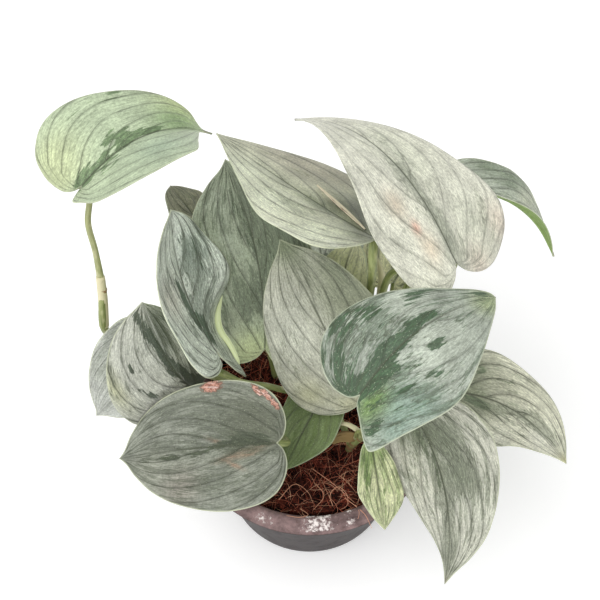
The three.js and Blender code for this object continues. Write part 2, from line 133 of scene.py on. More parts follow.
def spline(points: Array, share: Array) -> Array:
    """An even Catmull-Rom curve through points.

    Args:
        points: The points, one a row.
        share: Places on the curve, from 0 to 1.

    Returns:
        One point for each share.
    """
    last = len(points) - 1
    at = np.clip(share, 0, 1) * last
    k = np.minimum(at.astype(int), last - 1)
    before, after = points[np.maximum(k - 1, 0)], points[np.minimum(k + 2, last)]
    first, second = points[k], points[k + 1]
    slopes = (second - before) / 2, (after - first) / 2
    return hermite((first, second), slopes, (at - k)[:, None])


def through(points: Array, share: Array) -> Array:
    """A centripetal Catmull-Rom curve through points, which never loops between them.

    Args:
        points: The points, one a row.
        share: Places on the curve, from 0 to 1, each span between two points taking the same part.

    Returns:
        One point for each share.
    """
    padded = np.vstack([2 * points[0] - points[1], points, 2 * points[-1] - points[-2]])
    last = len(points) - 1
    at = np.clip(share, 0, 1) * last
    k = np.minimum(at.astype(int), last - 1)
    p0, p1, p2, p3 = (padded[k + n] for n in range(4))
    d0, d1, d2 = (
        np.sqrt(np.linalg.norm(b - a, axis=1))[:, None] for a, b in ((p0, p1), (p1, p2), (p2, p3))
    )
    m1 = ((p1 - p0) / d0 - (p2 - p0) / (d0 + d1) + (p2 - p1) / d1) * d1
    m2 = ((p2 - p1) / d1 - (p3 - p1) / (d1 + d2) + (p3 - p2) / d2) * d1
    return hermite((p1, p2), (m1, m2), (at - k)[:, None])


def distances(line: Array) -> Array:
    """How far along a line each of its points lies."""
    return np.concatenate([[0], np.cumsum(np.linalg.norm(np.diff(line, axis=0), axis=1))])


def bearings(sides: int) -> Array:
    """Even angles round a circle."""
    return np.arange(sides) * math.tau / sides


def by_side(right: Array, pair: Pair) -> Array:
    """Takes the left or the right value of a pair at each point."""
    return np.where(right, pair[1], pair[0])


def evenly(points: Array, count: int) -> Array:
    """Points at even distances along a smooth line through the given ones.

    Args:
        points: The points that the line passes.
        count: How many points to return.

    Returns:
        The points, one a row.
    """
    fine = through(points, np.linspace(0, 1, 40 * len(points)))
    run = distances(fine)
    wanted = np.linspace(0, run[-1], count)
    return np.stack([np.interp(wanted, run, fine[:, axis]) for axis in range(3)], 1)


# ---- meshes


class Draft:
    """Points, faces and point attributes that grow into one mesh."""

    def __init__(self) -> None:
        """Starts with nothing."""
        self.count = 0
        self.points: list[Array] = []
        self.faces: list[list[int]] = []
        self.slots: list[int] = []
        self.marks: dict[str, list[Array]] = {}

    def add(self, points: Array, faces: Array, slot: int = 0, **marks: Array) -> None:
        """Adds a patch of surface.

        Args:
            points: Its points in millimetres, one a row.
            faces: The numbers of each face's points within this patch.
            slot: Which of the piece's materials it wears.
            **marks: Attributes, each with one value or three for each point.
        """
        self.faces += (np.asarray(faces) + self.count).tolist()
        self.slots += [slot] * len(faces)
        self.points.append(points)
        self.count += len(points)
        for name, values in marks.items():
            self.marks.setdefault(name, []).append(values)

    def add_body(self, shell: Array, ends: Array, sides: int, **marks: Array) -> None:
        """Adds a closed round body: its rings, and a fan of triangles at both ends.

        Args:
            shell: The rings' points in millimetres, ring by ring.
            ends: The middle of the first ring and that of the last.
            sides: How many points a ring has.
            **marks: Attributes for each point of the shell and then of the ends.
        """
        first, last, end = len(shell), len(shell) + 1, len(shell) - sides
        turns = [(k, (k + 1) % sides) for k in range(sides)]
        fans = [[first, b, a] for a, b in turns] + [[last, end + a, end + b] for a, b in turns]
        offset = self.count
        self.add(np.vstack([shell, ends]), grid_faces(len(shell) // sides, sides, closed=True), **marks)
        self.faces += [[n + offset for n in fan] for fan in fans]
        self.slots += [0] * len(fans)

    def piece(self, name: str, materials: Sequence[Material]) -> Piece:
        """Makes the piece.

        Args:
            name: The piece's name.
            materials: What its surfaces wear, in slot order.

        Returns:
            The new object, smooth shaded and in the scene.
        """
        mesh = bpy.data.meshes.new(name)
        mesh.from_pydata((np.concatenate(self.points) * MM).tolist(), [], self.faces)
        for material in materials:
            mesh.materials.append(material)
        mesh.polygons.foreach_set("material_index", self.slots)
        mesh.polygons.foreach_set("use_smooth", [True] * len(self.faces))
        for label, parts in self.marks.items():
            values = np.concatenate(parts).astype(np.float32)
            kind, key = ("FLOAT", "value") if values.ndim == 1 else ("FLOAT_VECTOR", "vector")
            mesh.attributes.new(label, kind, "POINT").data.foreach_set(key, values.ravel())
        mesh.validate()
        made = bpy.data.objects.new(name, mesh)
        bpy.context.scene.collection.objects.link(made)
        return made


def place(made: Piece, slot: Slot, *nodes: str) -> None:
    """Seats a finished piece in the frame.

    Args:
        made: The piece.
        slot: The material slot that it would take its finish from. Not used.
        *nodes: The nodes of the frame that it stands for.
    """
    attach(made, BODY)
    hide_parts(*nodes)
    log.info("%s: %d faces", made.name, len(made.data.polygons))


def grid_faces(rows: int, columns: int, closed: bool = False) -> Array:
    """Quads over a grid of points numbered row by row.

    Args:
        rows: How many rows of points.
        columns: How many points in a row.
        closed: Whether each row's last point joins its first.

    Returns:
        The quads, one a row.
    """
    spans = columns if closed else columns - 1
    i, j = np.meshgrid(np.arange(rows - 1), np.arange(spans), indexing="ij")
    near, far = i * columns + j, i * columns + (j + 1) % columns
    return np.stack([near, far, far + columns, near + columns], -1).reshape(-1, 4)


def rings(line: Array, radii: Array, sides: int) -> Array:
    """Rings of points round a line, without twist.

    Args:
        line: The line's points, one a row.
        radii: The radius at each of them.
        sides: How many points in a ring.

    Returns:
        The points, ring by ring.
    """
    along = unit(np.gradient(line, axis=0))
    across = np.cross(along[0], UP if abs(along[0][2]) < 0.9 else np.array([1.0, 0, 0]))
    angles = bearings(sides)
    loops = []
    for centre, ahead, radius in zip(line, along, radii):
        across = unit(across - ahead * (across @ ahead))
        other = np.cross(ahead, across)
        loops.append(centre + radius * (np.outer(np.cos(angles), across) + np.outer(np.sin(angles), other)))
    return np.concatenate(loops)


def add_tube(draft: Draft, line: Array, radii: Array, sides: int, **marks: Array) -> None:
    """Adds a round shoot to a draft, closed with a fan at both ends.

    Its skin attribute holds each point's run along the shoot and its place round it, in mm.

    Args:
        draft: The mesh that it joins.
        line: The middle line's points.
        radii: The radius at each of them.
        sides: How many sides it has.
        **marks: More attributes, with one value or three for each point of the line.
    """
    run, angles = distances(line), np.tile(bearings(sides), len(line))
    round_about = np.repeat(radii, sides)[:, None] * np.stack([np.cos(angles), np.sin(angles)], 1)
    skin = np.column_stack([np.repeat(run, sides), round_about])
    skin = np.vstack([skin, [(run[0], 0, 0), (run[-1], 0, 0)]])
    spread = {k: np.concatenate([np.repeat(v, sides, axis=0), v[:1], v[-1:]]) for k, v in marks.items()}
    draft.add_body(rings(line, radii, sides), line[[0, -1]], sides, skin=skin, **spread)


# ---- shader graphs


class Graph:
    """One material's node tree, written as plain sums."""

    def __init__(self, name: str) -> None:
        """Starts a material with one glossy shader."""
        self.material = bpy.data.materials.new(name)
        self.material.use_nodes = True
        self.tree = self.material.node_tree
        self.tree.nodes.clear()
        self.shader = self.add("ShaderNodeBsdfPrincipled")
        output = self.add("ShaderNodeOutputMaterial")
        self.tree.links.new(self.shader.outputs[0], output.inputs[0])

    def add(self, kind: str, **settings: object) -> bpy.types.Node:
        """Adds a node of a kind, with its settings."""
        node = self.tree.nodes.new(kind)
        for name, value in settings.items():
            setattr(node, name, value)
        return node

    def feed(self, socket: Socket, value: Value | Sequence[float]) -> None:
        """Links a socket to another one's value, or sets it to a number or a colour."""
        if isinstance(value, Socket):
            self.tree.links.new(value, socket)
        else:
            socket.default_value = value

    def sum(self, op: Op, *values: Value) -> Socket:
        """Works out one sum of numbers."""
        node = self.add("ShaderNodeMath", operation=op.value)
        for socket, value in zip(node.inputs, values):
            self.feed(socket, value)
        return node.outputs[0]

    def ramp(
        self, value: Value, start: float, end: float, low: float = 0, high: float = 1
    ) -> Socket:
        """Goes smoothly from low at start to high at end.

        Args:
            value: What drives it.
            start: The value at which it leaves low.
            end: The value at which it reaches high.
            low: What it gives at the start.
            high: What it gives at the end.

        Returns:
            The result's socket.
        """
        node = self.add("ShaderNodeMapRange", interpolation_type="SMOOTHSTEP")
        for socket, number in zip(node.inputs, (value, start, end, low, high)):
            self.feed(socket, number)
        return node.outputs[0]

    def mark(self, name: str) -> bpy.types.Node:
        """Reads a mesh attribute."""
        return self.add("ShaderNodeAttribute", attribute_name=name)

    def parts(self, name: str) -> list[Socket]:
        """Reads the three numbers of a mesh attribute."""
        node = self.add("ShaderNodeSeparateXYZ")
        self.tree.links.new(self.mark(name).outputs["Vector"], node.inputs[0])
        return list(node.outputs)

    def spot(self, x: Value, y: Value, z: Value) -> Socket:
        """Joins three numbers into a place."""
        node = self.add("ShaderNodeCombineXYZ")
        for socket, value in zip(node.inputs, (x, y, z)):
            self.feed(socket, value)
        return node.outputs[0]

    def noise(
        self, where: Socket, scale: float, detail: float, rough: float = 0.5
    ) -> Socket:
        """Reads soft noise of 0 to 1 at a place."""
        node = self.add("ShaderNodeTexNoise")
        self.tree.links.new(where, node.inputs["Vector"])
        for name, value in (("Scale", scale), ("Detail", detail), ("Roughness", rough)):
            node.inputs[name].default_value = value
        return node.outputs["Fac"]

    def seams(self, where: Socket, scale: float) -> Socket:
        """Reads the distance to the nearest border between scattered cells."""
        node = self.add("ShaderNodeTexVoronoi", feature="DISTANCE_TO_EDGE")
        self.tree.links.new(where, node.inputs["Vector"])
        node.inputs["Scale"].default_value = scale
        return node.outputs["Distance"]

    def times(self, *values: Value) -> Socket:
        """Multiplies numbers with one another."""
        product = values[0]
        for value in values[1:]:
            product = self.sum(Op.MULTIPLY, product, value)
        return product

    def plus(self, *values: Value) -> Socket:
        """Adds numbers up."""
        total = values[0]
        for value in values[1:]:
            total = self.sum(Op.ADD, total, value)
        return total

    def mix(
        self, share: Value, first: Socket | Tone, second: Socket | Tone, mode: str = "MIX"
    ) -> Socket:
        """Blends two colours.

        Args:
            share: How much of the second colour.
            first: A socket, or a screen tone.
            second: A socket, or a screen tone.
            mode: How they blend.

        Returns:
            The blend's socket.
        """
        node = self.add("ShaderNodeMix", data_type="RGBA", blend_type=mode)
        self.feed(node.inputs[0], share)
        for socket, value in ((node.inputs[6], first), (node.inputs[7], second)):
            self.feed(socket, (*linear(value), 1) if isinstance(value, tuple) else value)
        return node.outputs[2]

    def shade(self, colour: Socket | Tone, amount: Socket) -> Socket:
        """Multiplies a colour by a number."""
        return self.mix(1.0, colour, amount, "MULTIPLY")

    def relief(self, height: Socket, depth: float) -> None:
        """Gives the surface fine relief of a depth in millimetres."""
        node = self.add("ShaderNodeBump")
        node.inputs["Distance"].default_value = depth * MM
        self.tree.links.new(height, node.inputs["Height"])
        self.tree.links.new(node.outputs[0], self.shader.inputs["Normal"])

    def finish(self, colour: Socket, rough: Value, **constants: float) -> Material:
        """Sets the shader.

        Args:
            colour: The base colour.
            rough: The roughness.
            **constants: Other sockets of the shader, with words joined by underscores.

        Returns:
            The finished material.
        """
        self.feed(self.shader.inputs["Base Color"], colour)
        self.feed(self.shader.inputs["Roughness"], rough)
        for name, value in constants.items():
            self.shader.inputs[name.replace("_", " ")].default_value = value
        return self.material


# ---- finishes


# How far the veins waver, as a share of the vein coordinate, and their widths in mm.
VEIN_WAVER = 0.04
VEIN_WIDTH = 0.3
SIDE_VEIN_WIDTH = 0.2
VALLEY_WIDTH = 1.2
UNDER_VEIN_WIDTH = 0.5
# Sets a blade's haze apart from its green patches.
HAZE_SEED = 40.0


@dataclass(frozen=True)
class Stain:
    """A soft spot on a blade.

    t and across place its middle, across as a share of the half breadth. reach is in mm, stretch
    lengthens it along the rib, and slant turns it from there towards the right, in degrees. A
    strength below 0 keeps green or haze away. Tints and scars have a tone of their own, and some
    tints are painted light and painted shade.
    """

    t: float
    across: float
    reach: float
    strength: float = 1.0
    stretch: float = 1.0
    slant: float = 0.0
    tone: Tone = NEUTRAL


class BladeGraph(Graph):
    """The node tree of one face of a blade, with the places that its layers share."""

    def __init__(self, name: str, seed: float, length: float, counts: Pair) -> None:
        """Starts a material and reads where on the blade each point lies.

        Args:
            name: The material's name.
            seed: Sets this blade's noise apart from the others'.
            length: The blade's length in mm.
            counts: How many main and side veins there are for a whole vein coordinate.
        """
        super().__init__(name)
        self.seed, self.length, self.counts = seed, length, counts
        self.course, self.q, self.scale = self.parts("veins")
        self.along, self.across, self.edge = self.parts("plane")
        self.here = self.spot(self.along, self.across, seed)
        self.path = self.plus(self.course, self.times(self.noise(self.here, 0.07, 1), VEIN_WAVER))
        self.shift = self.times(self.sum(Op.GREATER, self.q, 0.0), 0.5)

    def combed(self, along: float, across: float, shift: float = 0.0) -> Socket:
        """Places laid out along the veins, for noise that runs with them.

        Args:
            along: The share of the blade's length that a whole vein coordinate spans.
            across: The share of it that a half of the blade spans from rib to margin.
            shift: Sets this noise apart from the blade's other noise.

        Returns:
            The places' socket.
        """
        x, y = self.times(self.course, self.length * along), self.times(self.q, self.length * across)
        return self.spot(x, y, self.seed + shift)

    def veins(self, count: float, phase: Value, width: float) -> Socket:
        """Thin lines along the veins, which fade where they crowd.

        Args:
            count: How many lines a whole vein coordinate holds.
            phase: Shifts them by a share of their spacing.
            width: A line's width, in mm.

        Returns:
            A socket, 1 on a line and 0 between lines.
        """
        turns = self.plus(self.times(self.path, count), phase)
        off = self.sum(Op.ABSOLUTE, self.sum(Op.SUBTRACT, self.sum(Op.FRACTION, turns), 0.5))
        spacing = self.sum(Op.DIVIDE, self.scale, count)
        line = self.ramp(self.times(off, spacing), 0.3 * width, width, 1, 0)
        return self.times(line, self.ramp(spacing, 1.2 * width, 4 * width))

    def main_veins(self, width: float) -> Socket:
        """The main veins, which leave the midrib by turns to the left and to the right."""
        return self.veins(self.counts[0], self.shift, width)

    def rib(self, near: float, far: float) -> Socket:
        """The midrib: 1 on it, and fading out between two distances in mm."""
        return self.ramp(self.sum(Op.ABSOLUTE, self.across), near, far, 1, 0)


@dataclass(frozen=True)
class BladeFinish:
    """How one blade looks: satin silver over green, with dark veins.

    greens and hazes say where the green shows through in full or dimly, tints_and_shading are soft
    tints, some of them painted light and painted shade, and scars are brown spots. flecks is the
    tendency to green and haze the one to dimness anywhere.
    thin is how far the haze lets the green through. veins, net, rib and rim are the strengths of
    the veins, the fine net between them, the midrib and the margin. scar, scab, scorch and bare are
    the tones of a scar: its usual one, its rough parts, its burnt edge and its worn streaks.
    """

    silver: Tone
    green: Tone
    vein: Tone = (66, 72, 52)
    margin: Tone = (212, 218, 186)
    under: Tone = (158, 166, 138)
    hem: Tone = (240, 248, 204)
    scar: Tone = (168, 112, 84)
    scab: Tone = (140, 88, 72)
    scorch: Tone = (112, 74, 52)
    bare: Tone = (248, 226, 218)
    flecks: float = 0.1
    haze: float = 0.25
    thin: float = 0.55
    veins: float = 0.85
    net: float = 0.4
    rib: float = 0.8
    rim: float = 0.55
    tints_and_shading: tuple[Stain, ...] = ()
    greens: tuple[Stain, ...] = ()
    hazes: tuple[Stain, ...] = ()
    scars: tuple[Stain, ...] = ()

    def upper(self, graph: BladeGraph) -> Material:
        """The upper face.

        Args:
            graph: A new graph for it.

        Returns:
            The material.
        """
        greening, hazing, scarring = graph.parts("pattern")
        clouds = graph.combed(0.5, 0.4, HAZE_SEED)
        cloudy, streaky = graph.noise(clouds, 0.3, 4, 0.6), graph.noise(clouds, 1.3, 2, 0.5)
        haze = graph.ramp(
            graph.plus(hazing, graph.times(cloudy, 1.6), graph.times(streaky, 0.8)), 1.62, 1.76
        )
        fine = graph.noise(graph.here, 1.3, 3, 0.7)
        colour = self.flesh(graph, greening, haze, streaky)
        colour = graph.shade(colour, graph.ramp(fine, 0.3, 0.7, 0.78, 1.18))
        colour, ridges, net = self.tracery(graph, colour, haze)
        rim = graph.times(graph.ramp(graph.edge, 0.12, 0.5, 1, 0), self.rim)
        colour = graph.mix(rim, colour, self.margin)

        burnt = graph.plus(scarring, graph.times(fine, 0.9))
        scar = graph.mix(graph.ramp(fine, 0.42, 0.6), self.scab, graph.mark("scar_tone").outputs["Vector"])
        scar = graph.mix(graph.ramp(streaky, 0.52, 0.66, 0, 0.7), scar, self.bare)
        colour = graph.mix(graph.ramp(burnt, 0.9, 0.98, 0, 0.85), colour, self.scorch)
        colour = graph.mix(graph.ramp(burnt, 1.0, 1.1), colour, scar)

        height = graph.sum(Op.SUBTRACT, graph.times(fine, 0.35), ridges)
        graph.relief(graph.sum(Op.SUBTRACT, height, graph.times(net, 0.25)), 0.16)
        rough = graph.ramp(fine, 0.3, 0.7, 0.42, 0.52)
        return graph.finish(colour, rough, Specular_IOR_Level=0.42, Sheen_Weight=0.08)

    def flesh(self, graph: BladeGraph, greening: Socket, haze: Socket, streaky: Socket) -> Socket:
        """The silver and the green, before the veins.

        Args:
            graph: The face's graph.
            greening: The tendency to green.
            haze: Where the green shows through dimly.
            streaky: Noise that runs with the veins.

        Returns:
            The colour.
        """
        patches = graph.combed(0.5, 0.34)
        patchy, ragged = graph.noise(patches, 0.22, 4, 0.62), graph.noise(patches, 0.9, 3, 0.6)
        green = graph.ramp(
            graph.plus(greening, graph.times(patchy, 1.5), graph.times(ragged, 0.9)), 1.64, 1.78
        )
        broad = graph.noise(graph.here, 0.12, 2)
        silver = graph.shade(graph.mark("tone").outputs["Vector"], graph.ramp(broad, 0.3, 0.7, 0.87, 1.1))
        leafy = graph.shade(self.green, graph.ramp(streaky, 0.3, 0.7, 0.76, 1.2))
        colour = graph.mix(graph.times(haze, self.thin), silver, leafy)
        colour = graph.mix(graph.times(green, 0.92), colour, leafy)
        return graph.shade(colour, graph.ramp(streaky, 0.3, 0.72, 0.9, 1.08))

    def tracery(
        self, graph: BladeGraph, colour: Socket, haze: Socket
    ) -> tuple[Socket, Socket, Socket]:
        """Draws the veins, the midrib, the fine net and pale specks.

        Args:
            graph: The face's graph.
            colour: The colour under them.
            haze: Where the green shows through dimly, and the net more strongly.

        Returns:
            The colour, where veins or midrib run, and where the net does.
        """
        main, valley = graph.main_veins(VEIN_WIDTH), graph.main_veins(VALLEY_WIDTH)
        side = graph.veins(graph.counts[1], 0.25, SIDE_VEIN_WIDTH)
        # A soft band along the main veins, darker on them and a touch lighter between them: partly the silver
        # thinning by the veins, partly painted shade in their sunken lines and painted light on the swells
        # between.
        colour = graph.shade(colour, graph.ramp(valley, 0.0, 1.0, 1.02, 1.0 - 0.17 * self.veins))
        net = graph.ramp(graph.seams(graph.combed(0.65, 0.8), 0.55), 0.02, 0.15, 1, 0)
        tapering = graph.ramp(graph.along, 0.5 * graph.length, 1.02 * graph.length, 1.0, 0.3)
        rib = graph.times(graph.rib(0.1, 0.75), tapering)
        strength = graph.ramp(graph.noise(graph.here, 0.2, 1), 0.3, 0.7, 0.5, 1)
        lines = graph.times(graph.sum(Op.LARGER, main, graph.times(side, 0.4)), strength)
        dark = graph.sum(Op.LARGER, graph.times(lines, self.veins), graph.times(rib, self.rib))
        meshed = graph.times(net, strength, graph.ramp(haze, 0, 1, self.net, 1.8 * self.net))
        colour = graph.mix(graph.sum(Op.LARGER, dark, meshed), colour, self.vein)
        # Pale specks: the silver's fine specks, brightened as painted highlights for its sparkle.
        specks = graph.ramp(graph.noise(graph.here, 2.2, 1), 0.66, 0.72, 0, 0.35)
        return graph.mix(specks, colour, self.margin), graph.sum(Op.LARGER, lines, rib), net

    def lower(self, graph: BladeGraph) -> Material:
        """The under face: paler and matt, with raised veins.

        Args:
            graph: A new graph for it.

        Returns:
            The material.
        """
        fine, broad = graph.noise(graph.here, 1.1, 3, 0.6), graph.noise(graph.here, 0.15, 2)
        raised = graph.sum(Op.LARGER, graph.main_veins(UNDER_VEIN_WIDTH), graph.rib(0.3, 1.3))
        pale = tuple(min(255, c + 26) for c in self.under)
        deep = tuple(int(c * 0.84) for c in self.under)
        colour = graph.shade(graph.mix(broad, deep, self.under), graph.ramp(fine, 0.3, 0.7, 0.9, 1.1))
        colour = graph.mix(graph.times(raised, 0.6), colour, pale)
        colour = graph.mix(graph.mark("hem").outputs["Fac"], colour, self.hem)
        graph.relief(graph.plus(raised, graph.times(fine, 0.4)), 0.12)
        return graph.finish(colour, 0.6, Specular_IOR_Level=0.3)


@dataclass(frozen=True)
class StemFinish:
    """Smooth yellow-green stems with fine streaks and browned joints."""

    skin: Tone = (158, 166, 108)
    dark: Tone = (112, 124, 70)
    brown: Tone = (146, 118, 82)
    pale: Tone = (222, 214, 176)

    def material(self) -> Material:
        """Makes the stems' material."""
        graph = Graph("stem_skin")
        run, left, right = graph.parts("skin")
        streaks = graph.noise(graph.spot(graph.times(run, 0.1), left, right), 1.6, 3, 0.6)
        blotches = graph.noise(graph.spot(graph.times(run, 0.6), left, right), 0.35, 2)
        colour = graph.mix(graph.ramp(streaks, 0.35, 0.7), self.skin, self.dark)
        colour = graph.mix(graph.ramp(blotches, 0.55, 0.8, 0, 0.5), colour, self.pale)
        aged = graph.plus(graph.mark("age").outputs["Fac"], graph.times(streaks, 0.5))
        colour = graph.mix(graph.ramp(aged, 0.55, 1.0), colour, self.brown)
        colour = graph.mix(graph.mark("paleness").outputs["Fac"], colour, self.pale)
        graph.relief(streaks, 0.1)
        return graph.finish(colour, 0.42, Specular_IOR_Level=0.45)

    def dry(self, name: str, light: Tone, dark: Tone) -> Material:
        """A dry husk: papery, streaked along its length, with one edge browner: its own browning, and on
        the sliver also painted shade of its shaded side.

        Args:
            name: The material's name.
            light: The tone of the pale streaks.
            dark: The tone of the brown ones.

        Returns:
            The material.
        """
        graph = Graph(name)
        run, across, face = graph.parts("skin")
        streaks = graph.noise(graph.spot(graph.times(run, 0.15), across, face), 1.2, 3, 0.6)
        browning_and_shade = graph.plus(streaks, graph.times(across, 0.12))
        colour = graph.mix(graph.ramp(browning_and_shade, 0.52, 0.78), light, dark)
        graph.relief(streaks, 0.2)
        return graph.finish(colour, 0.75, Specular_IOR_Level=0.2)


@dataclass(frozen=True)
class CoirFinish:
    """Crumbly coconut coir, dark and red-brown, with paler loose fibres."""

    dark: Tone = (18, 6, 6)
    brown: Tone = (108, 50, 38)
    rust: Tone = (206, 106, 80)
    straw: Tone = (244, 192, 158)

    def crumb(self) -> Material:
        """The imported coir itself."""
        graph = Graph("coir_crumb")
        where = graph.add("ShaderNodeTexCoord").outputs["Object"]
        lumps = graph.noise(where, 260, 5, 0.7)
        threads = graph.noise(where, 1400, 3, 0.7)
        # Near black between the lumps: the coir's own dark brown, deepened with painted shade for the holes
        # among the fibres.
        colour = graph.mix(graph.ramp(lumps, 0.44, 0.68), self.dark, self.brown)
        colour = graph.mix(graph.ramp(threads, 0.54, 0.72, 0, 0.7), colour, self.rust)
        graph.relief(graph.plus(lumps, graph.times(threads, 0.5)), 1.0)
        return graph.finish(colour, 0.95, Specular_IOR_Level=0.15)

    def fibre(self) -> Material:
        """The loose fibres, each with its own shade."""
        graph = Graph("coir_fibre")
        shade = graph.mark("shade").outputs["Fac"]
        colour = graph.mix(graph.ramp(shade, 0.0, 0.4), self.dark, self.brown)
        colour = graph.mix(graph.ramp(shade, 0.35, 0.65), colour, self.rust)
        colour = graph.mix(graph.ramp(shade, 0.6, 0.95), colour, self.straw)
        return graph.finish(colour, 0.7, Specular_IOR_Level=0.3)


@dataclass(frozen=True)
class PlasticFinish:
    """Dusty black moulded plastic, with pale mineral marks on the lip."""

    black: Tone = (32, 26, 26)
    dust: Tone = (164, 138, 136)
    mineral: Tone = (244, 234, 230)
    grime: Tone = (86, 60, 50)

    def material(self, lip: Pair, crusts: Sequence[Point]) -> Material:
        """Makes the pot's material.

        Args:
            lip: The heights between which the dusty lip lies, in mm.
            crusts: Where mineral crusts sit on the front of the lip: x and reach in mm, and strength.

        Returns:
            The material.
        """
        graph = Graph("pot_plastic")
        where = graph.add("ShaderNodeTexCoord").outputs["Object"]
        parts = graph.add("ShaderNodeSeparateXYZ")
        graph.feed(parts.inputs[0], where)
        x, y, level = (graph.times(part, 1 / MM) for part in parts.outputs)
        crust = 0.0
        for middle, reach, strength in crusts:
            off = graph.sum(Op.ABSOLUTE, graph.sum(Op.SUBTRACT, x, middle))
            crust = graph.sum(Op.LARGER, crust, graph.ramp(off, 0, reach, strength, 0))
        front = graph.ramp(y, -20, -30)
        crust = graph.times(crust, front, graph.ramp(level, lip[0] + 0.4, lip[0] + 2.0))
        cloud = graph.noise(where, 150, 5, 0.7)
        specks = graph.noise(where, 700, 3, 0.7)
        on_lip = graph.ramp(level, lip[0] - 0.4, lip[0] + 0.6)
        dusty = graph.plus(graph.times(on_lip, 0.36), graph.times(cloud, 0.75))
        colour = graph.mix(graph.ramp(dusty, 0.45, 0.95, 0.03, 0.95), self.black, self.dust)
        colour = graph.mix(graph.ramp(specks, 0.55, 0.72, 0, 0.5), colour, self.grime)
        chalky = graph.plus(crust, graph.times(specks, 1.0), graph.times(cloud, 0.9))
        chalk = graph.ramp(chalky, 1.32, 1.52)
        colour = graph.mix(chalk, colour, self.mineral)
        graph.relief(graph.plus(graph.times(chalk, 1.5), graph.times(specks, 0.4)), 0.15)
        rough = graph.ramp(dusty, 0.3, 0.9, 0.42, 0.8)
        return graph.finish(colour, rough, Specular_IOR_Level=0.13)


# ---- leaf blades


# Half of a blade's margin, from the stalk round the heart lobe to the point: the place along the
# rib and the share of the half breadth, for a slim flank and for a blunt one.
SLIM_FLANK = np.array([
    (0, 0), (-0.075, 0.12), (-0.125, 0.32), (-0.12, 0.54), (-0.055, 0.76), (0.06, 0.92), (0.22, 1),
    (0.4, 0.96), (0.58, 0.8), (0.74, 0.56), (0.87, 0.3), (0.95, 0.11), (1, 0),
])
BLUNT_FLANK = np.array([
    (0, 0), (-0.075, 0.12), (-0.125, 0.32), (-0.12, 0.54), (-0.055, 0.76), (0.06, 0.92), (0.22, 1),
    (0.42, 1), (0.62, 0.92), (0.78, 0.74), (0.88, 0.46), (0.94, 0.16), (1, 0),
])
# How much breadth a rounded point gains at each of those places.
ROUND_TIP = np.array([0, 0, 0, 0, 0, 0, 0, 0, 0, 0.05, 0.15, 0.2, 0])
# The share of a half's margin whose veins start at the stalk, and how a vein bends outwards.
VEIN_FAN = 0.3
VEIN_BEND = (0.75, 0.25)
# The widest span of a vein coordinate in mm, and how many points of the margin are measured.
VEIN_SPAN = 400
MARGIN_POINTS = 600
# The waves of a margin, where a half's turn ends, and how round the fold at the rib is.
WAVES = 1.6
TURN_FADE = (0.05, 0.4)
RIB_ROUND = 1.0
# How far under the rib a stalk stops, how much more under drooping halves, how far back, and the
# last step of its route, back and down, in mm.
STALK_DROP = 1.16
STALK_DROOP = 1.2
STALK_BACK = 0.5
STALK_STEP = (1.5, 6.0)
ROOT_DEPTH = 0.9
# The lengths of the slow swells, and where the quilting fades at the margin and the rib, in mm.
SWELLS = (7.1, 5.3, 9.7)
MARGIN_FADE = (0, 6)
RIB_FADE = (0.5, 4)
# The steps over a half: from the stalk round to the point, and from the rib out.
STATIONS = 96
ROWS = 22


@dataclass(frozen=True)
class Hem:
    """A stretch of margin that curls up over the blade, between two shares of the way round it.

    side is -1 for the left half and 1 for the right, radius is in mm and turn in degrees.
    """

    side: int
    start: float
    end: float
    radius: float
    turn: float = 165.0
    stations: int = 60
    rows: int = 13


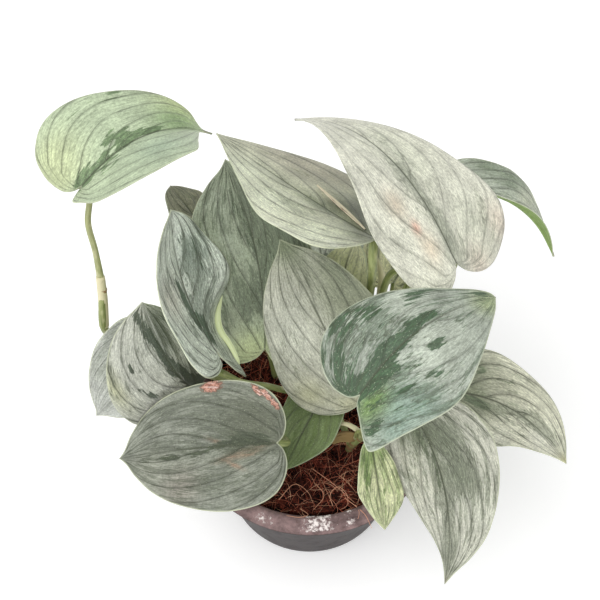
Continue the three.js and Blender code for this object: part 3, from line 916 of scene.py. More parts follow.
@dataclass
class Blade:
    """One leaf blade.

    base is its stalk end and tip its point. left and right lift each half from the rib, and roll
    turns the blade about its length, in degrees. bow arches the rib up and sweep bends it sideways,
    in mm. lobe scales the heart lobes, blunt fills the flanks and belly slides the widest place
    towards the point. wave ruffles the margins by that many mm from a phase in degrees. skew is the
    share of breadth that the left half takes from the right one. turn is the extra lift of each half
    near the stalk, in degrees, and nip the share of breadth that it loses there. blob rounds the
    point. outlines may give a half its own margin, in the way of the flanks above, and hems are
    curled stretches of margin.
    """

    name: str
    base: Point
    tip: Point
    width: float
    finish: BladeFinish
    skew: float = 0.0
    left: float = 0.0
    right: float = 0.0
    bow: float = 0.0
    sweep: float = 0.0
    roll: float = 0.0
    lobe: float = 1.0
    blunt: float = 0.0
    belly: float = 0.0
    wave: Pair = (1.0, 1.0)
    phase: Pair = (0.0, 90.0)
    turn: Pair = (0.0, 0.0)
    nip: Pair = (0.0, 0.0)
    blob: float = 0.0
    outlines: tuple[tuple[Pair, ...], tuple[Pair, ...]] = ((), ())
    hems: tuple[Hem, ...] = ()
    vein_counts: Pair = (5.5, 22.0)
    rise: float = 0.62
    seed: float = 0.0
    rib_thickness: float = 0.8
    margin_thickness: float = 0.32
    keel: float = 0.7
    quilt: float = 0.2
    swell: float = 0.45
    channel: float = 0.35
    channel_width: float = 0.9
    margins: dict[int, Array] = field(init=False, repr=False)

    def __post_init__(self) -> None:
        """Works out the blade's own axes and its margin."""
        self.half = self.width / 2
        self.start, self.end = np.array(self.base, float), np.array(self.tip, float)
        self.length = float(np.linalg.norm(self.end - self.start))
        along = unit(self.end - self.start)
        side = unit(np.cross(along, UP))
        up = np.cross(side, along)
        c, s = math.cos(math.radians(self.roll)), math.sin(math.radians(self.roll))
        self.side, self.up = side * c + up * s, up * c - side * s
        self.middle = (self.start + self.end) / 2 + 2 * self.bow * self.up + 2 * self.sweep * self.side
        self.margins = {
            sideways: np.array(outline, float) if outline else self.flank()
            for sideways, outline in zip((-1, 1), self.outlines)
        }

    def flank(self) -> Array:
        """A plain half's margin as places along the rib and shares of the half breadth."""
        points = SLIM_FLANK + self.blunt * (BLUNT_FLANK - SLIM_FLANK)
        t = points[:, 0]
        t = np.where(t < 0, t * self.lobe, t + self.belly * 4 * t * (1 - t))
        return np.stack([t, points[:, 1] + self.blob * ROUND_TIP], 1)

    def rib(self, t: Array) -> Array:
        """The rib's points, 0 at the stalk and 1 at the point; below 0 it runs straight on."""
        k = np.clip(t, 0, 1)[:, None]
        curve = (1 - k) ** 2 * self.start + 2 * k * (1 - k) * self.middle + k * k * self.end
        return curve + 2 * np.minimum(0, t)[:, None] * (self.middle - self.start)

    def frame(self, t: Array) -> tuple[Array, Array, Array]:
        """The rib's direction, the way across it and the upper face's direction at t."""
        step = 1e-3
        along = unit(self.rib(t + step) - self.rib(t - step))
        side = unit(self.side - along * (along @ self.side)[:, None])
        return along, side, np.cross(side, along)

    def surface(self, t: Array, w: Array) -> Array:
        """The middle of the blade's thickness.

        Args:
            t: Places along the rib.
            w: Places across it, in mm.

        Returns:
            The points, one a row.
        """
        _, side, up = self.frame(t)
        right = w >= 0
        near_stalk = 1 - smooth(t, *TURN_FADE)
        lift = np.radians(by_side(right, (self.left, self.right)) + by_side(right, self.turn) * near_stalk)
        lost = by_side(right, self.nip) * near_stalk
        out = np.abs(w) * by_side(right, (1 + self.skew, 1 - self.skew)) * (1 - lost)
        cycle = math.tau * WAVES * t + np.radians(by_side(right, self.phase))
        ruffle = by_side(right, self.wave) * (out / self.half) ** 2 * np.sin(cycle)
        rounded = np.sqrt(out**2 + RIB_ROUND**2) - RIB_ROUND
        sideways = np.sign(w) * out * np.cos(lift)
        return self.rib(t) + side * sideways[:, None] + up * (rounded * np.sin(lift) + ruffle)[:, None]

    def normal(self, t: Array, w: Array) -> Array:
        """The upper face's direction. On the rib it is the rib's own.

        Args:
            t: Places along the rib.
            w: Places across it, in mm.

        Returns:
            The directions, one a row, each of length one.
        """
        step = 0.02
        way = np.where(w < 0, -1.0, 1.0)
        along = self.surface(t + step, w) - self.surface(t - step, w)
        across = (self.surface(t, w) - self.surface(t, w - way * step * self.half)) * way[:, None]
        found = unit(np.cross(across, along))
        return np.where((np.abs(w) < 1e-6)[:, None], self.frame(t)[2], found)

    def seat(self) -> Array:
        """The last two points of the stalk's route, which ends in the rib's root."""
        t = np.array([0.02])
        along, _, up = (v[0] for v in self.frame(t))
        least = min(self.left + self.turn[0], self.right + self.turn[1])
        drop = STALK_DROP + STALK_DROOP * max(0.0, -math.sin(math.radians(least)))
        end = self.rib(t)[0] - up * drop - along * STALK_BACK
        back, down = STALK_STEP
        return np.array([end - up * down - along * back, end])

    def root(self) -> Array:
        """The spot under the rib where the stalk runs into it."""
        t = np.array([0.03])
        return self.rib(t)[0] - ROOT_DEPTH * self.frame(t)[2][0]

    def half_sheet(self, sideways: int) -> dict[str, Array]:
        """Points and marks of one half, station by station from the stalk round to the point.

        Args:
            sideways: -1 for the left half and 1 for the right.

        Returns:
            The places t and w, the vein coordinates and the other marks, each as a grid.
        """
        grid = np.linspace(0, 1, STATIONS + 1), np.linspace(0, 1, ROWS + 1)
        share, q = np.meshgrid(*grid, indexing="ij")
        edge = spline(self.margins[sideways], share.ravel()).reshape(*share.shape, 2)
        rib_t = np.maximum(0, (share - VEIN_FAN) / (1 - VEIN_FAN))
        t = (1 - q) * rib_t + q * edge[..., 0]
        w = q * edge[..., 1] * self.half * sideways
        t[0], w[0], w[-1] = 0, 0, 0
        flat = self.surface(t.ravel(), w.ravel()).reshape(*t.shape, 3)
        course = share - self.rise * (VEIN_BEND[0] * q + VEIN_BEND[1] * q**2)
        slope_q = -self.rise * (VEIN_BEND[0] + 2 * VEIN_BEND[1] * q)
        by_share, by_q = (np.gradient(flat, axis=a) * n for a, n in ((0, STATIONS), (1, ROWS)))
        aa, ab, bb = (np.sum(m * n, -1) for m, n in ((by_share, by_share), (by_share, by_q), (by_q, by_q)))
        area = np.maximum(aa * bb - ab * ab, 1e-3)
        steepness = np.sqrt(np.maximum((bb - 2 * ab * slope_q + aa * slope_q**2) / area, 1e-6))
        margin = spline(self.margins[sideways], np.linspace(0, 1, MARGIN_POINTS))
        margin = margin * (self.length, self.half)
        away = t[..., None] * self.length - margin[:, 0], np.abs(w)[..., None] - margin[:, 1]
        gap = np.min(np.hypot(*away), -1)
        scale = np.minimum(1 / steepness, VEIN_SPAN)
        return {"t": t, "w": w, "course": course, "q": q * sideways, "scale": scale, "gap": gap}

    def spread(self, stain: Stain, x: Array, y: Array) -> Array:
        """How strongly a stain shows at places of the flattened blade.

        Args:
            stain: The stain.
            x: Places along the rib, in mm.
            y: Places across it, in mm.

        Returns:
            Its strength at each place.
        """
        c, s = math.cos(math.radians(stain.slant)), math.sin(math.radians(stain.slant))
        off_x, off_y = x - stain.t * self.length, y - stain.across * self.half
        ahead = (off_x * c + off_y * s) / (stain.reach * stain.stretch)
        aside = (off_y * c - off_x * s) / stain.reach
        return stain.strength * np.exp(-(ahead**2) - aside**2)

    def marks(self, t: Array, w: Array, gap: Array) -> dict[str, Array]:
        """The blade's tones and tendencies at each point.

        Args:
            t: Places along the rib.
            w: Places across it, in mm.
            gap: How far the margin is, in mm.

        Returns:
            The attributes by name.
        """
        x, y, look = t * self.length, w, self.finish
        tone = np.tile(linear(look.silver), (len(t), 1))
        # Soft tints, some of them painted light and painted shade, blend into the silver.
        for tint_and_shading in look.tints_and_shading:
            share = np.clip(self.spread(tint_and_shading, x, y), 0, 1)[:, None]
            tone = tone * (1 - share) + share * np.array(linear(tint_and_shading.tone))
        greening = look.flecks + sum((self.spread(stain, x, y) for stain in look.greens), np.zeros(len(t)))
        hazing = look.haze + sum((self.spread(stain, x, y) for stain in look.hazes), np.zeros(len(t)))
        scarring, scar_tone = np.zeros(len(t)), np.tile(linear(look.scar), (len(t), 1))
        for scar in look.scars:
            share = np.clip(self.spread(scar, x, y), 0, 1)
            scar_tone = np.where((share > scarring)[:, None], linear(scar.tone), scar_tone)
            scarring = np.maximum(scarring, share)
        return {
            "plane": np.stack([x, y, gap], 1),
            "tone": tone,
            "pattern": np.stack([greening, hazing, scarring], 1),
            "scar_tone": scar_tone,
        }

    def join(self) -> tuple[dict[str, Array], list[list[int]], list[Array]]:
        """Joins the two halves along the rib.

        Returns:
            The values of half_sheet at each point, the upper faces, and the points of each margin.
        """
        halves = [self.half_sheet(sideways) for sideways in (-1, 1)]
        values = {key: np.concatenate([half[key].ravel() for half in halves]) for key in halves[0]}
        keys = np.stack([np.round(values["t"], 5), np.round(values["w"], 4) + 0.0], 1)
        _, first, number = np.unique(keys, axis=0, return_index=True, return_inverse=True)
        number = number.ravel()
        quads = grid_faces(STATIONS + 1, ROWS + 1)
        size = (STATIONS + 1) * (ROWS + 1)
        faces = np.concatenate([number[quads[:, ::-1]], number[quads + size]])
        faces = [list(dict.fromkeys(face)) for face in faces.tolist()]
        faces = [face for face in faces if len(face) > 2]
        rim = np.arange(ROWS, size, ROWS + 1)
        loops = [number[rim], number[rim + size][::-1]]
        return {key: value[first] for key, value in values.items()}, faces, loops

    def build(self) -> Piece:
        """Makes the blade: both faces over one pattern of points, joined round the margin.

        Returns:
            The piece.
        """
        values, faces, loops = self.join()
        t, w, course, q, scale, gap = values.values()
        middle, normal = self.surface(t, w), self.normal(t, w)
        marks = self.marks(t, w, gap) | {"veins": np.stack([course, q, scale], 1), "hem": np.zeros(len(t))}
        middle += normal * self.relief(t, w, course, q, gap)[:, None]
        share = np.abs(q)
        half_thick = (self.rib_thickness * (1 - share) + self.margin_thickness * share)[:, None] / 2
        keel = self.keel * np.exp(-((w / 1.0) ** 2)) * np.clip(1 - t, 0, 1) * smooth(t, -0.02, 0.02)
        upper, lower = middle + normal * half_thick, middle - normal * (half_thick + keel[:, None])

        draft, count = Draft(), len(t)
        both = {key: np.concatenate([value, value]) for key, value in marks.items()}
        draft.add(np.concatenate([upper, lower]), np.zeros((0, 4), int), **both)
        under = [[n + count for n in reversed(face)] for face in faces]
        strip = [[a, b, b + count, a + count] for loop in loops for a, b in zip(loop, loop[1:]) if a != b]
        draft.faces = faces + under + strip
        draft.slots = [0] * len(faces) + [1] * len(under) + [0] * len(strip)
        for hem in self.hems:
            self.curl(draft, hem)
        short = self.name.removeprefix("leaf_")
        above, below = (
            BladeGraph(f"{face}_{short}", self.seed, self.length, self.vein_counts)
            for face in ("satin", "underside")
        )
        made = draft.piece(f"blade_{short}", [self.finish.upper(above), self.finish.lower(below)])
        place(made, Slot.BLADE, self.name)
        return made

    def curl(self, draft: Draft, hem: Hem) -> None:
        """Adds a curled stretch of margin: it bulges outwards and rolls up over the blade.

        Args:
            draft: The blade's mesh.
            hem: Which stretch curls, and how.
        """
        grid = np.linspace(0, 1, hem.stations), np.linspace(0, 1, hem.rows)
        along, turn = np.meshgrid(*grid, indexing="ij")
        edge = spline(self.margins[hem.side], hem.start + (hem.end - hem.start) * along[:, 0])
        t, w = edge[:, 0], edge[:, 1] * self.half * hem.side
        rim, up = self.surface(t, 0.995 * w), self.normal(t, 0.97 * w)
        out = unit(rim - self.surface(t, 0.9 * w))
        radius = hem.radius * np.sin(math.pi * along) ** 0.6
        angle = np.radians(hem.turn) * turn
        layers = []
        for depth in (self.margin_thickness / 2, -self.margin_thickness / 2):
            aside = ((radius + depth) * np.sin(angle))[..., None] * out[:, None]
            above = (radius - (radius + depth) * np.cos(angle))[..., None] * up[:, None]
            layers.append((rim[:, None] + aside + above).reshape(-1, 3))
        quads = grid_faces(hem.stations, hem.rows)
        if hem.side < 0:
            quads = quads[:, ::-1]
        layer = hem.stations * hem.rows
        last = np.arange(hem.rows - 1, layer, hem.rows)
        seam = np.stack([last[:-1], last[1:], last[1:] + layer, last[:-1] + layer], 1)
        faces = np.concatenate([quads, quads[:, ::-1] + layer, seam])
        # Places of its own for the noise, in mm, 5 mm from any margin.
        flat = np.stack([along.ravel() * 30, turn.ravel() * 6 + 3, np.full(layer, 5.0)], 1)
        empty = np.zeros((2 * layer, 3))
        marks = {
            "plane": np.tile(flat, (2, 1)), "tone": empty, "pattern": empty, "scar_tone": empty,
            "veins": np.tile([0.0, 0.5 * hem.side, 1.0], (2 * layer, 1)), "hem": np.ones(2 * layer),
        }
        draft.add(np.concatenate(layers), faces, 1, **marks)

    def relief(self, t: Array, w: Array, course: Array, q: Array, gap: Array) -> Array:
        """How far each point stands off the plain surface, in mm.

        Args:
            t: Places along the rib.
            w: Places across it, in mm.
            course: The vein coordinate.
            q: How far out from the rib, signed by side.
            gap: The distance to the margin, in mm.

        Returns:
            The height of the quilting between the veins, the slow swells and the channel at the rib.
        """
        phase = np.where(q > 0, 0.5, 0.0)
        pillow = np.cos(math.tau * (course * self.vein_counts[0] + phase + 0.5))
        inner = smooth(gap, *MARGIN_FADE) * smooth(np.abs(w), *RIB_FADE)
        x, (first, second, third) = t * self.length, SWELLS
        slow = np.sin(x / first + self.seed) * np.cos(w / second + 2 * self.seed)
        slow = slow + np.sin((x + w) / third - self.seed)
        channel = -self.channel * np.exp(-((w / self.channel_width) ** 2)) * smooth(gap, 0, 3)
        return inner * (self.quilt * pillow + self.swell * 0.5 * slow) + channel


# ---- vines


@dataclass(frozen=True)
class Stalk:
    """A leaf stalk: the blade that it carries, where it leaves the stem and what it passes.

    start is a share of the stem. slim scales its thickness and pale, 0 to 1, is how pale it is.
    """

    leaf: str
    start: float
    via: tuple[Point, ...] = ()
    slim: float = 1.0
    pale: float = 0.0


@dataclass(frozen=True)
class Bud:
    """A new leaf still rolled in its sheath, along a line from its foot to its point.

    swell is the stretch of a half turn that its thickness follows, widest at 0.5.
    """

    line: tuple[Point, ...]
    radius: float
    pale: float = 0.9
    swell: Pair = (0.2, 0.97)


@dataclass(frozen=True)
class Husk:
    """A dry strap, such as an old sheath, that lies on a piece.

    facing is the way its face looks, cup how far its edges curl up as a share of its half breadth,
    and thick half its thickness in mm.
    """

    name: str
    node: str
    slot: Slot
    line: tuple[Point, ...]
    breadth: float
    facing: Point
    light: Tone
    dark: Tone
    cup: float
    thick: float = 0.3
    stations: int = 30
    sides: int = 12

    def build(self, finish: StemFinish) -> Piece:
        """Makes the husk, tapered at both ends.

        Args:
            finish: The finish whose dry look it wears.

        Returns:
            The piece.
        """
        line = evenly(np.array(self.line, float), self.stations)
        share = np.linspace(0, 1, len(line))
        breadths = self.breadth / 2 * np.sin(math.pi * (0.04 + 0.92 * share)) ** 0.7
        along = unit(np.gradient(line, axis=0))
        side = unit(np.cross(along, unit(np.array(self.facing, float))))
        up = np.cross(side, along)
        wide, tall = np.cos(bearings(self.sides)), np.sin(bearings(self.sides))
        off = breadths[:, None] * wide
        rise = self.thick * tall + self.cup * breadths[:, None] * wide**2
        points = line[:, None] + side[:, None] * off[..., None] + up[:, None] * rise[..., None]
        run = np.repeat(np.cumsum(np.linalg.norm(np.gradient(line, axis=0), axis=1)), self.sides)
        skin = np.column_stack([run, off.ravel(), np.tile(tall, len(line))])
        skin = np.vstack([skin, skin[:1], skin[-1:]])
        draft = Draft()
        draft.add_body(points.reshape(-1, 3), line[[0, -1]], self.sides, skin=skin)
        made = draft.piece(self.name, [finish.dry(f"{self.name}_dry", self.light, self.dark)])
        place(made, self.slot, self.node)
        return made


@dataclass
class Vine:
    """One vine: its stem, its leaf stalks and its buds, grown together.

    Radii are in mm. A stalk goes from the sheath's radius to its own over sheath_share of its way.
    The joint is the swelling where a stalk leaves the stem, and the knee the one below its blade.
    """

    name: str
    stem: tuple[Point, ...]
    stalks: tuple[Stalk, ...]
    buds: tuple[Bud, ...] = ()
    stem_radius: float = 1.5
    stalk_radius: float = 1.2
    sheath_radius: float = 1.6
    sheath_share: float = 0.3
    foot_depth: float = 22.0
    joint_reach: float = 1.3
    joint_swell: float = 0.15
    knee_place: float = 0.9
    knee_reach: float = 0.06
    knee_swell: float = 0.12
    sides: int = 14
    stalk_stations: int = 36
    bud_stations: int = 28

    def build(self, blades: dict[str, Blade], skin: Material) -> Piece:
        """Makes the vine.

        Args:
            blades: The blades by name.
            skin: What the vine wears.

        Returns:
            The piece.
        """
        draft = Draft()
        points = np.array(self.stem, float)
        feet = [points[0] - (0, 0, self.foot_depth * k) for k in (1, 0.5)]
        whole = evenly(np.vstack([feet, points]), 30 + 10 * len(points))
        joints = [through(points, np.array([stalk.start]))[0] for stalk in self.stalks]
        self.shoot(draft, whole, np.full(len(whole), self.stem_radius), joints)
        for stalk in self.stalks:
            self.grow_stalk(draft, points, stalk, blades[stalk.leaf])
        for bud in self.buds:
            self.grow_bud(draft, bud)
        made = draft.piece(self.name.replace("vine", "shoot"), [skin])
        place(made, Slot.STEM, self.name)
        return made

    def shoot(
        self, draft: Draft, line: Array, radii: Array, joints: Sequence[Array] = (), pale: float = 0.0
    ) -> None:
        """Adds one round shoot with swollen, browned joints.

        Args:
            draft: The mesh that it joins.
            line: Its middle line.
            radii: Its radius along that line.
            joints: Where stalks leave it.
            pale: How pale its skin is, 0 to 1.
        """
        near = np.zeros(len(line))
        for joint in joints:
            away = np.linalg.norm(line - joint, axis=1) / self.joint_reach
            near = np.maximum(near, np.exp(-(away**2)))
        swollen = radii * (1 + self.joint_swell * near)
        add_tube(draft, line, swollen, self.sides, age=near, paleness=np.full(len(line), pale))

    def grow_stalk(self, draft: Draft, stem: Array, stalk: Stalk, blade: Blade) -> None:
        """Adds one leaf stalk, from the stem to the root of its blade's rib.

        Args:
            draft: The mesh that it joins.
            stem: The points that the stem passes.
            stalk: The stalk.
            blade: The blade that it carries.
        """
        start = through(stem, np.array([stalk.start]))
        passed = np.array(stalk.via, float).reshape(-1, 3)
        line = evenly(np.vstack([start, passed, blade.seat(), blade.root()]), self.stalk_stations)
        share = np.linspace(0, 1, len(line))
        sheath = np.clip(share / self.sheath_share, 0, 1)
        radii = stalk.slim * (self.sheath_radius + (self.stalk_radius - self.sheath_radius) * sheath)
        knee = np.exp(-(((share - self.knee_place) / self.knee_reach) ** 2))
        radii = radii * (1 + self.knee_swell * knee) * (1 - 0.5 * smooth(share, 0.95, 1))
        self.shoot(draft, line, radii, pale=stalk.pale)

    def grow_bud(self, draft: Draft, bud: Bud) -> None:
        """Adds one slender bud to a draft."""
        line = evenly(np.array(bud.line, float), self.bud_stations)
        turn = bud.swell[0] + (bud.swell[1] - bud.swell[0]) * np.linspace(0, 1, len(line))
        self.shoot(draft, line, bud.radius * np.sin(math.pi * turn) ** 0.8, pale=bud.pale)


# ---- pot and coir


@dataclass
class Pot:
    """The tapered nursery pot, with its sloping lip and drain holes.

    crusts are the mineral marks on the front of the lip: x and reach in mm, and strength.
    """

    height: float = 68.0
    rim: float = 50.0
    mouth: float = 45.0
    shoulder: float = 44.1
    base: float = 35.0
    wall: float = 1.4
    floor: float = 2.0
    lip_drop: float = 6.0
    lip_edge: float = 0.6
    lip_under: float = 2.2
    crown: float = 0.7
    foot: float = 1.5
    drain_count: int = 6
    drain_radius: float = 3.0
    drain_circle: float = 23.0
    drain_sides: int = 32
    sides: int = 144
    longest_step: float = 2.5
    corner: float = 0.45
    crusts: tuple[Point, ...] = (
        (3.0, 16.0, 0.5), (15.0, 7.0, 0.46), (-16.0, 14.0, 0.3), (32.0, 16.0, 0.34),
    )

    @property
    def lip(self) -> float:
        """The height of the lip's outer edge."""
        return self.height - self.lip_drop

    def profile(self) -> Array:
        """The wall's outline, from the base's middle out, up, over the lip and down inside."""
        lip, inner = self.lip, self.shoulder - self.wall
        corners = [
            (0, 0), (self.base - self.foot, 0), (self.base, self.foot), (self.shoulder, lip - self.lip_under),
            (self.rim - 2 * self.lip_edge, lip - self.lip_edge), (self.rim, lip),
            (self.mouth + self.crown, self.height), (self.mouth - self.crown, self.height - self.crown / 2),
            (inner, lip), (self.base - self.wall, self.floor), (0, self.floor),
        ]
        softened = [np.array(corners[0], float)]
        for before, here, after in zip(corners, corners[1:], corners[2:]):
            a, b, c = (np.array(p, float) for p in (before, here, after))
            back, on = unit(a - b), unit(c - b)
            cut = min(self.corner, 0.3 * np.linalg.norm(b - a), 0.3 * np.linalg.norm(c - b))
            softened += [b + back * cut, b + (back + on) * cut / 4, b + on * cut]
        softened.append(np.array(corners[-1], float))
        dense = [softened[0]]
        for a, b in zip(softened, softened[1:]):
            steps = max(1, int(np.linalg.norm(b - a) / self.longest_step))
            dense += [a + (b - a) * k / steps for k in range(1, steps + 1)]
        return np.array(dense)

    def build(self, finish: PlasticFinish) -> Piece:
        """Makes the pot.

        Args:
            finish: What it wears.

        Returns:
            The piece.
        """
        outline = self.profile()
        radius, z = (np.repeat(outline[1:-1, k], self.sides) for k in (0, 1))
        turn = np.tile(bearings(self.sides), len(outline) - 2)
        wall = np.stack([radius * np.cos(turn), radius * np.sin(turn), z], 1)
        ends = np.array([(0, 0, outline[0, 1]), (0, 0, outline[-1, 1])])
        draft = Draft()
        draft.add_body(wall, ends, self.sides)
        made = draft.piece("nursery_pot", [finish.material((self.lip, self.height), self.crusts)])
        self.drill(made)
        place(made, Slot.PLASTIC, "pot")
        return made

    def drill(self, made: Piece) -> None:
        """Cuts the ring of drain holes in the pot's floor."""
        drills = Draft()
        for angle in bearings(self.drain_count):
            middle = self.drain_circle * np.array([math.cos(angle), math.sin(angle), 0.0])
            line = middle + np.outer([-self.floor, 2 * self.floor], UP)
            add_tube(drills, line, np.full(2, self.drain_radius), self.drain_sides)
        cutter = drills.piece("drill", [])
        cut = made.modifiers.new("drain holes", "BOOLEAN")
        cut.operation, cut.object, cut.solver = "DIFFERENCE", cutter, "EXACT"
        evaluated = made.evaluated_get(bpy.context.evaluated_depsgraph_get())
        finished = bpy.data.meshes.new_from_object(evaluated)
        made.modifiers.clear()
        made.data = finished
        bpy.data.objects.remove(cutter)


@dataclass
class Coir:
    """The coir that fills the pot: crumbly on top, with loose fibres.

    border is how far in from the wall the lumps reach their full relief, and gap the room at the
    wall. A fibre's length, arch, lift and radius lie between two values in mm, and fibre_bend is the
    usual turn of one in radians. fibre_start and fibre_stop keep them off the shoulder and mouth.
    """

    pot: Pot
    top: float = 62.0
    relief: float = 1.2
    border: float = 8.0
    gap: float = 0.35
    bevel_deep: float = 3.0
    bevel_in: float = 0.6
    sides: int = 200
    rows: int = 70
    seed: int = 11
    fibre_count: int = 3400
    fibre_points: int = 7
    fibre_sides: int = 3
    fibre_length: Pair = (3.0, 15.0)
    fibre_bend: float = 1.1
    fibre_arch: Pair = (0.2, 2.6)
    fibre_lift: Pair = (-0.2, 0.6)
    fibre_radius: Pair = (0.05, 0.14)
    fibre_start: float = 4.0
    fibre_stop: float = 2.5
    loop_points: int = 26
    loop_sides: int = 5
    loop_radius: Pair = (0.16, 0.07)
    loop_shade: float = 0.82
    loops: tuple[tuple[Point, ...], ...] = (
        (
            (8.4, -39, 64), (7.3, -35.4, 66), (10.4, -32.5, 67.2), (13.7, -35.8, 67), (13.7, -39.3, 65.5),
            (11, -40.5, 64),
        ),
        ((0.6, -23.5, 63.5), (9.3, -31.7, 66.5), (16.7, -38.2, 65)),
        ((13, -36, 64.5), (17.5, -41, 67.5), (20.3, -44, 67.8), (22.7, -48.4, 65.6)),
        ((16.9, -39, 65), (18, -43.6, 68.8), (17.5, -45.8, 68.6)),
        ((-4, -40, 64), (-1, -43.5, 66.8), (-4, -45.2, 68.7), (-9, -44.6, 68.8)),
        ((2, -30, 64), (5, -36, 66.5), (1, -41, 65)),
        ((-12, -36.2, 63.5), (-6, -31, 66), (-1, -34, 65.5), (1, -38, 64)),
    )

    def height(self, x: Array, y: Array) -> Array:
        """The height of the coir's crumbly top at a place, in mm."""
        inside = (self.pot.shoulder - 2 * self.pot.wall - np.hypot(x, y)) / self.border
        lumps = np.sin(0.31 * x + 0.6) * np.cos(0.27 * y - 0.4) + 0.6 * np.sin(0.63 * y + 0.35 * x)
        return self.top + self.relief * np.clip(inside, 0, 1) * lumps

    def outline(self) -> list[Pair]:
        """The outline as radius and height, from the floor up and then in to the middle."""
        pot, inset = self.pot, self.pot.wall + 3 * self.gap
        top_radius = pot.shoulder - inset - self.bevel_in
        side = [
            (pot.base - inset, pot.floor + self.gap),
            (pot.shoulder - inset, pot.lip - self.bevel_deep),
            (top_radius, self.top - self.bevel_in),
        ]
        return side + [(top_radius * (1 - k / self.rows), self.top) for k in range(self.rows)]

    def build(self, finish: CoirFinish) -> None:
        """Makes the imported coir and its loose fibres."""
        angles, layers = bearings(self.sides), []
        for radius, level in self.outline():
            x, y = radius * np.cos(angles), radius * np.sin(angles)
            z = np.full(self.sides, level)
            if level == self.top:
                z = self.height(x, y) + self.crumbs(x, y)
            layers.append(np.stack([x, y, z], 1))
        summit = self.height(np.zeros(1), np.zeros(1))[0]
        ends = np.array([[0, 0, self.pot.floor + self.gap], [0, 0, summit]])
        draft = Draft()
        draft.add_body(np.vstack(layers), ends, self.sides)
        place(draft.piece("coir_ball", [finish.crumb()]), Slot.COIR, "coir")
        self.scatter(finish)

    def crumbs(self, x: Array, y: Array) -> Array:
        """Fine lumps of the coir's top, in mm."""
        return np.array([
            1.3 * noise.fractal(Vector((a * 0.35, b * 0.35, 1.7)), 0.6, 2.2, 4) for a, b in zip(x, y)
        ])

    def scatter(self, finish: CoirFinish) -> None:
        """Makes the loose fibres, each an arch with both ends in the coir."""
        rng = np.random.default_rng(self.seed)
        draft = Draft()
        share = np.linspace(0, 1, self.fibre_points)
        for _ in range(self.fibre_count):
            reach = (self.pot.shoulder - self.fibre_start) * math.sqrt(rng.uniform(0, 1))
            angle = rng.uniform(0, math.tau)
            start = np.array([reach * math.cos(angle), reach * math.sin(angle)])
            length, heading = rng.uniform(*self.fibre_length), rng.uniform(0, math.tau)
            turn = heading + rng.normal(0, self.fibre_bend) * share
            steps = np.stack([np.cos(turn), np.sin(turn)], 1) * length / (self.fibre_points - 1)
            flat = start + np.cumsum(steps, axis=0) - steps[0]
            far = np.hypot(flat[:, 0], flat[:, 1])
            flat *= np.minimum(1, (self.pot.mouth - self.fibre_stop) / np.maximum(far, 1e-6))[:, None]
            arch = rng.uniform(*self.fibre_arch) * np.sin(math.pi * share) - 0.3
            level = self.height(flat[:, 0], flat[:, 1]) + arch + rng.uniform(*self.fibre_lift)
            radius = rng.uniform(*self.fibre_radius)
            shade = np.full(self.fibre_points, rng.beta(0.9, 1.3))
            line, radii = np.column_stack([flat, level]), radius * (1 - 0.5 * share**2)
            add_tube(draft, line, radii, self.fibre_sides, shade=shade)
        for loop in self.loops:
            line = evenly(np.array(loop, float), self.loop_points)
            radii = np.linspace(*self.loop_radius, self.loop_points)
            add_tube(draft, line, radii, self.loop_sides, shade=np.full(self.loop_points, self.loop_shade))
        place(draft.piece("coir_fibres", [finish.fibre()]), Slot.COIR, "coir")


# ---- the studio


@dataclass
class Studio:
    """A pale floor, soft light and the camera, in metres."""

    lens: float = 69.0
    sensor: float = 36.0
    eye: Point = (-0.004, -0.200, 0.474)
    tilt: float = 31.6
    floor_size: float = 6.0
    floor_tone: Tone = (250, 250, 250)
    glow: float = 0.2
    sky: float = 0.78
    key_power: float = 11.0
    key_size: float = 1.4
    key_place: Point = (-0.55, -0.45, 1.25)

    def build(self) -> None:
        """Sets up the studio."""
        scene = bpy.context.scene
        scene.view_settings.view_transform = "Standard"
        self.lay_floor()
        self.light()
        lens = bpy.data.cameras.new("camera")
        lens.sensor_width, lens.lens = self.sensor, self.lens
        camera = bpy.data.objects.new("camera", lens)
        camera.location = self.eye
        camera.rotation_euler = (math.radians(self.tilt), 0, 0)
        scene.collection.objects.link(camera)
        scene.camera = camera

    def lay_floor(self) -> None:
        """Lays the pale floor."""
        graph = Graph("pale_floor")
        where = graph.add("ShaderNodeTexCoord").outputs["Object"]
        cloud = graph.ramp(graph.noise(where, 3, 2), 0.3, 0.7, 0.985, 1.0)
        colour = graph.shade(self.floor_tone, cloud)
        material = graph.finish(colour, 0.9, Specular_IOR_Level=0.1, Emission_Strength=self.glow)
        half = self.floor_size / 2 / MM
        draft = Draft()
        corners = np.array([(-half, -half, 0), (half, -half, 0), (half, half, 0), (-half, half, 0)])
        draft.add(corners, np.array([[0, 1, 2, 3]]))
        draft.piece("floor", [material])

    def light(self) -> None:
        """Hangs one large soft lamp and lights the rest from a white sky."""
        lamp = bpy.data.lights.new("key", "AREA")
        lamp.energy, lamp.size = self.key_power, self.key_size
        key = bpy.data.objects.new("key", lamp)
        key.location = self.key_place
        key.rotation_euler = (-Vector(self.key_place)).to_track_quat("-Z", "Y").to_euler()
        bpy.context.scene.collection.objects.link(key)
        world = bpy.data.worlds.new("sky")
        world.use_nodes = True
        sky = world.node_tree.nodes["Background"]
        sky.inputs["Color"].default_value = (1, 1, 1, 1)
        sky.inputs["Strength"].default_value = self.sky
        bpy.context.scene.world = world


# ---- the plant's layout


# What sets one blade's noise apart from the next one's, and where the first one's starts.
SEED_STEP = 17.3
FIRST_SEED = 2.0


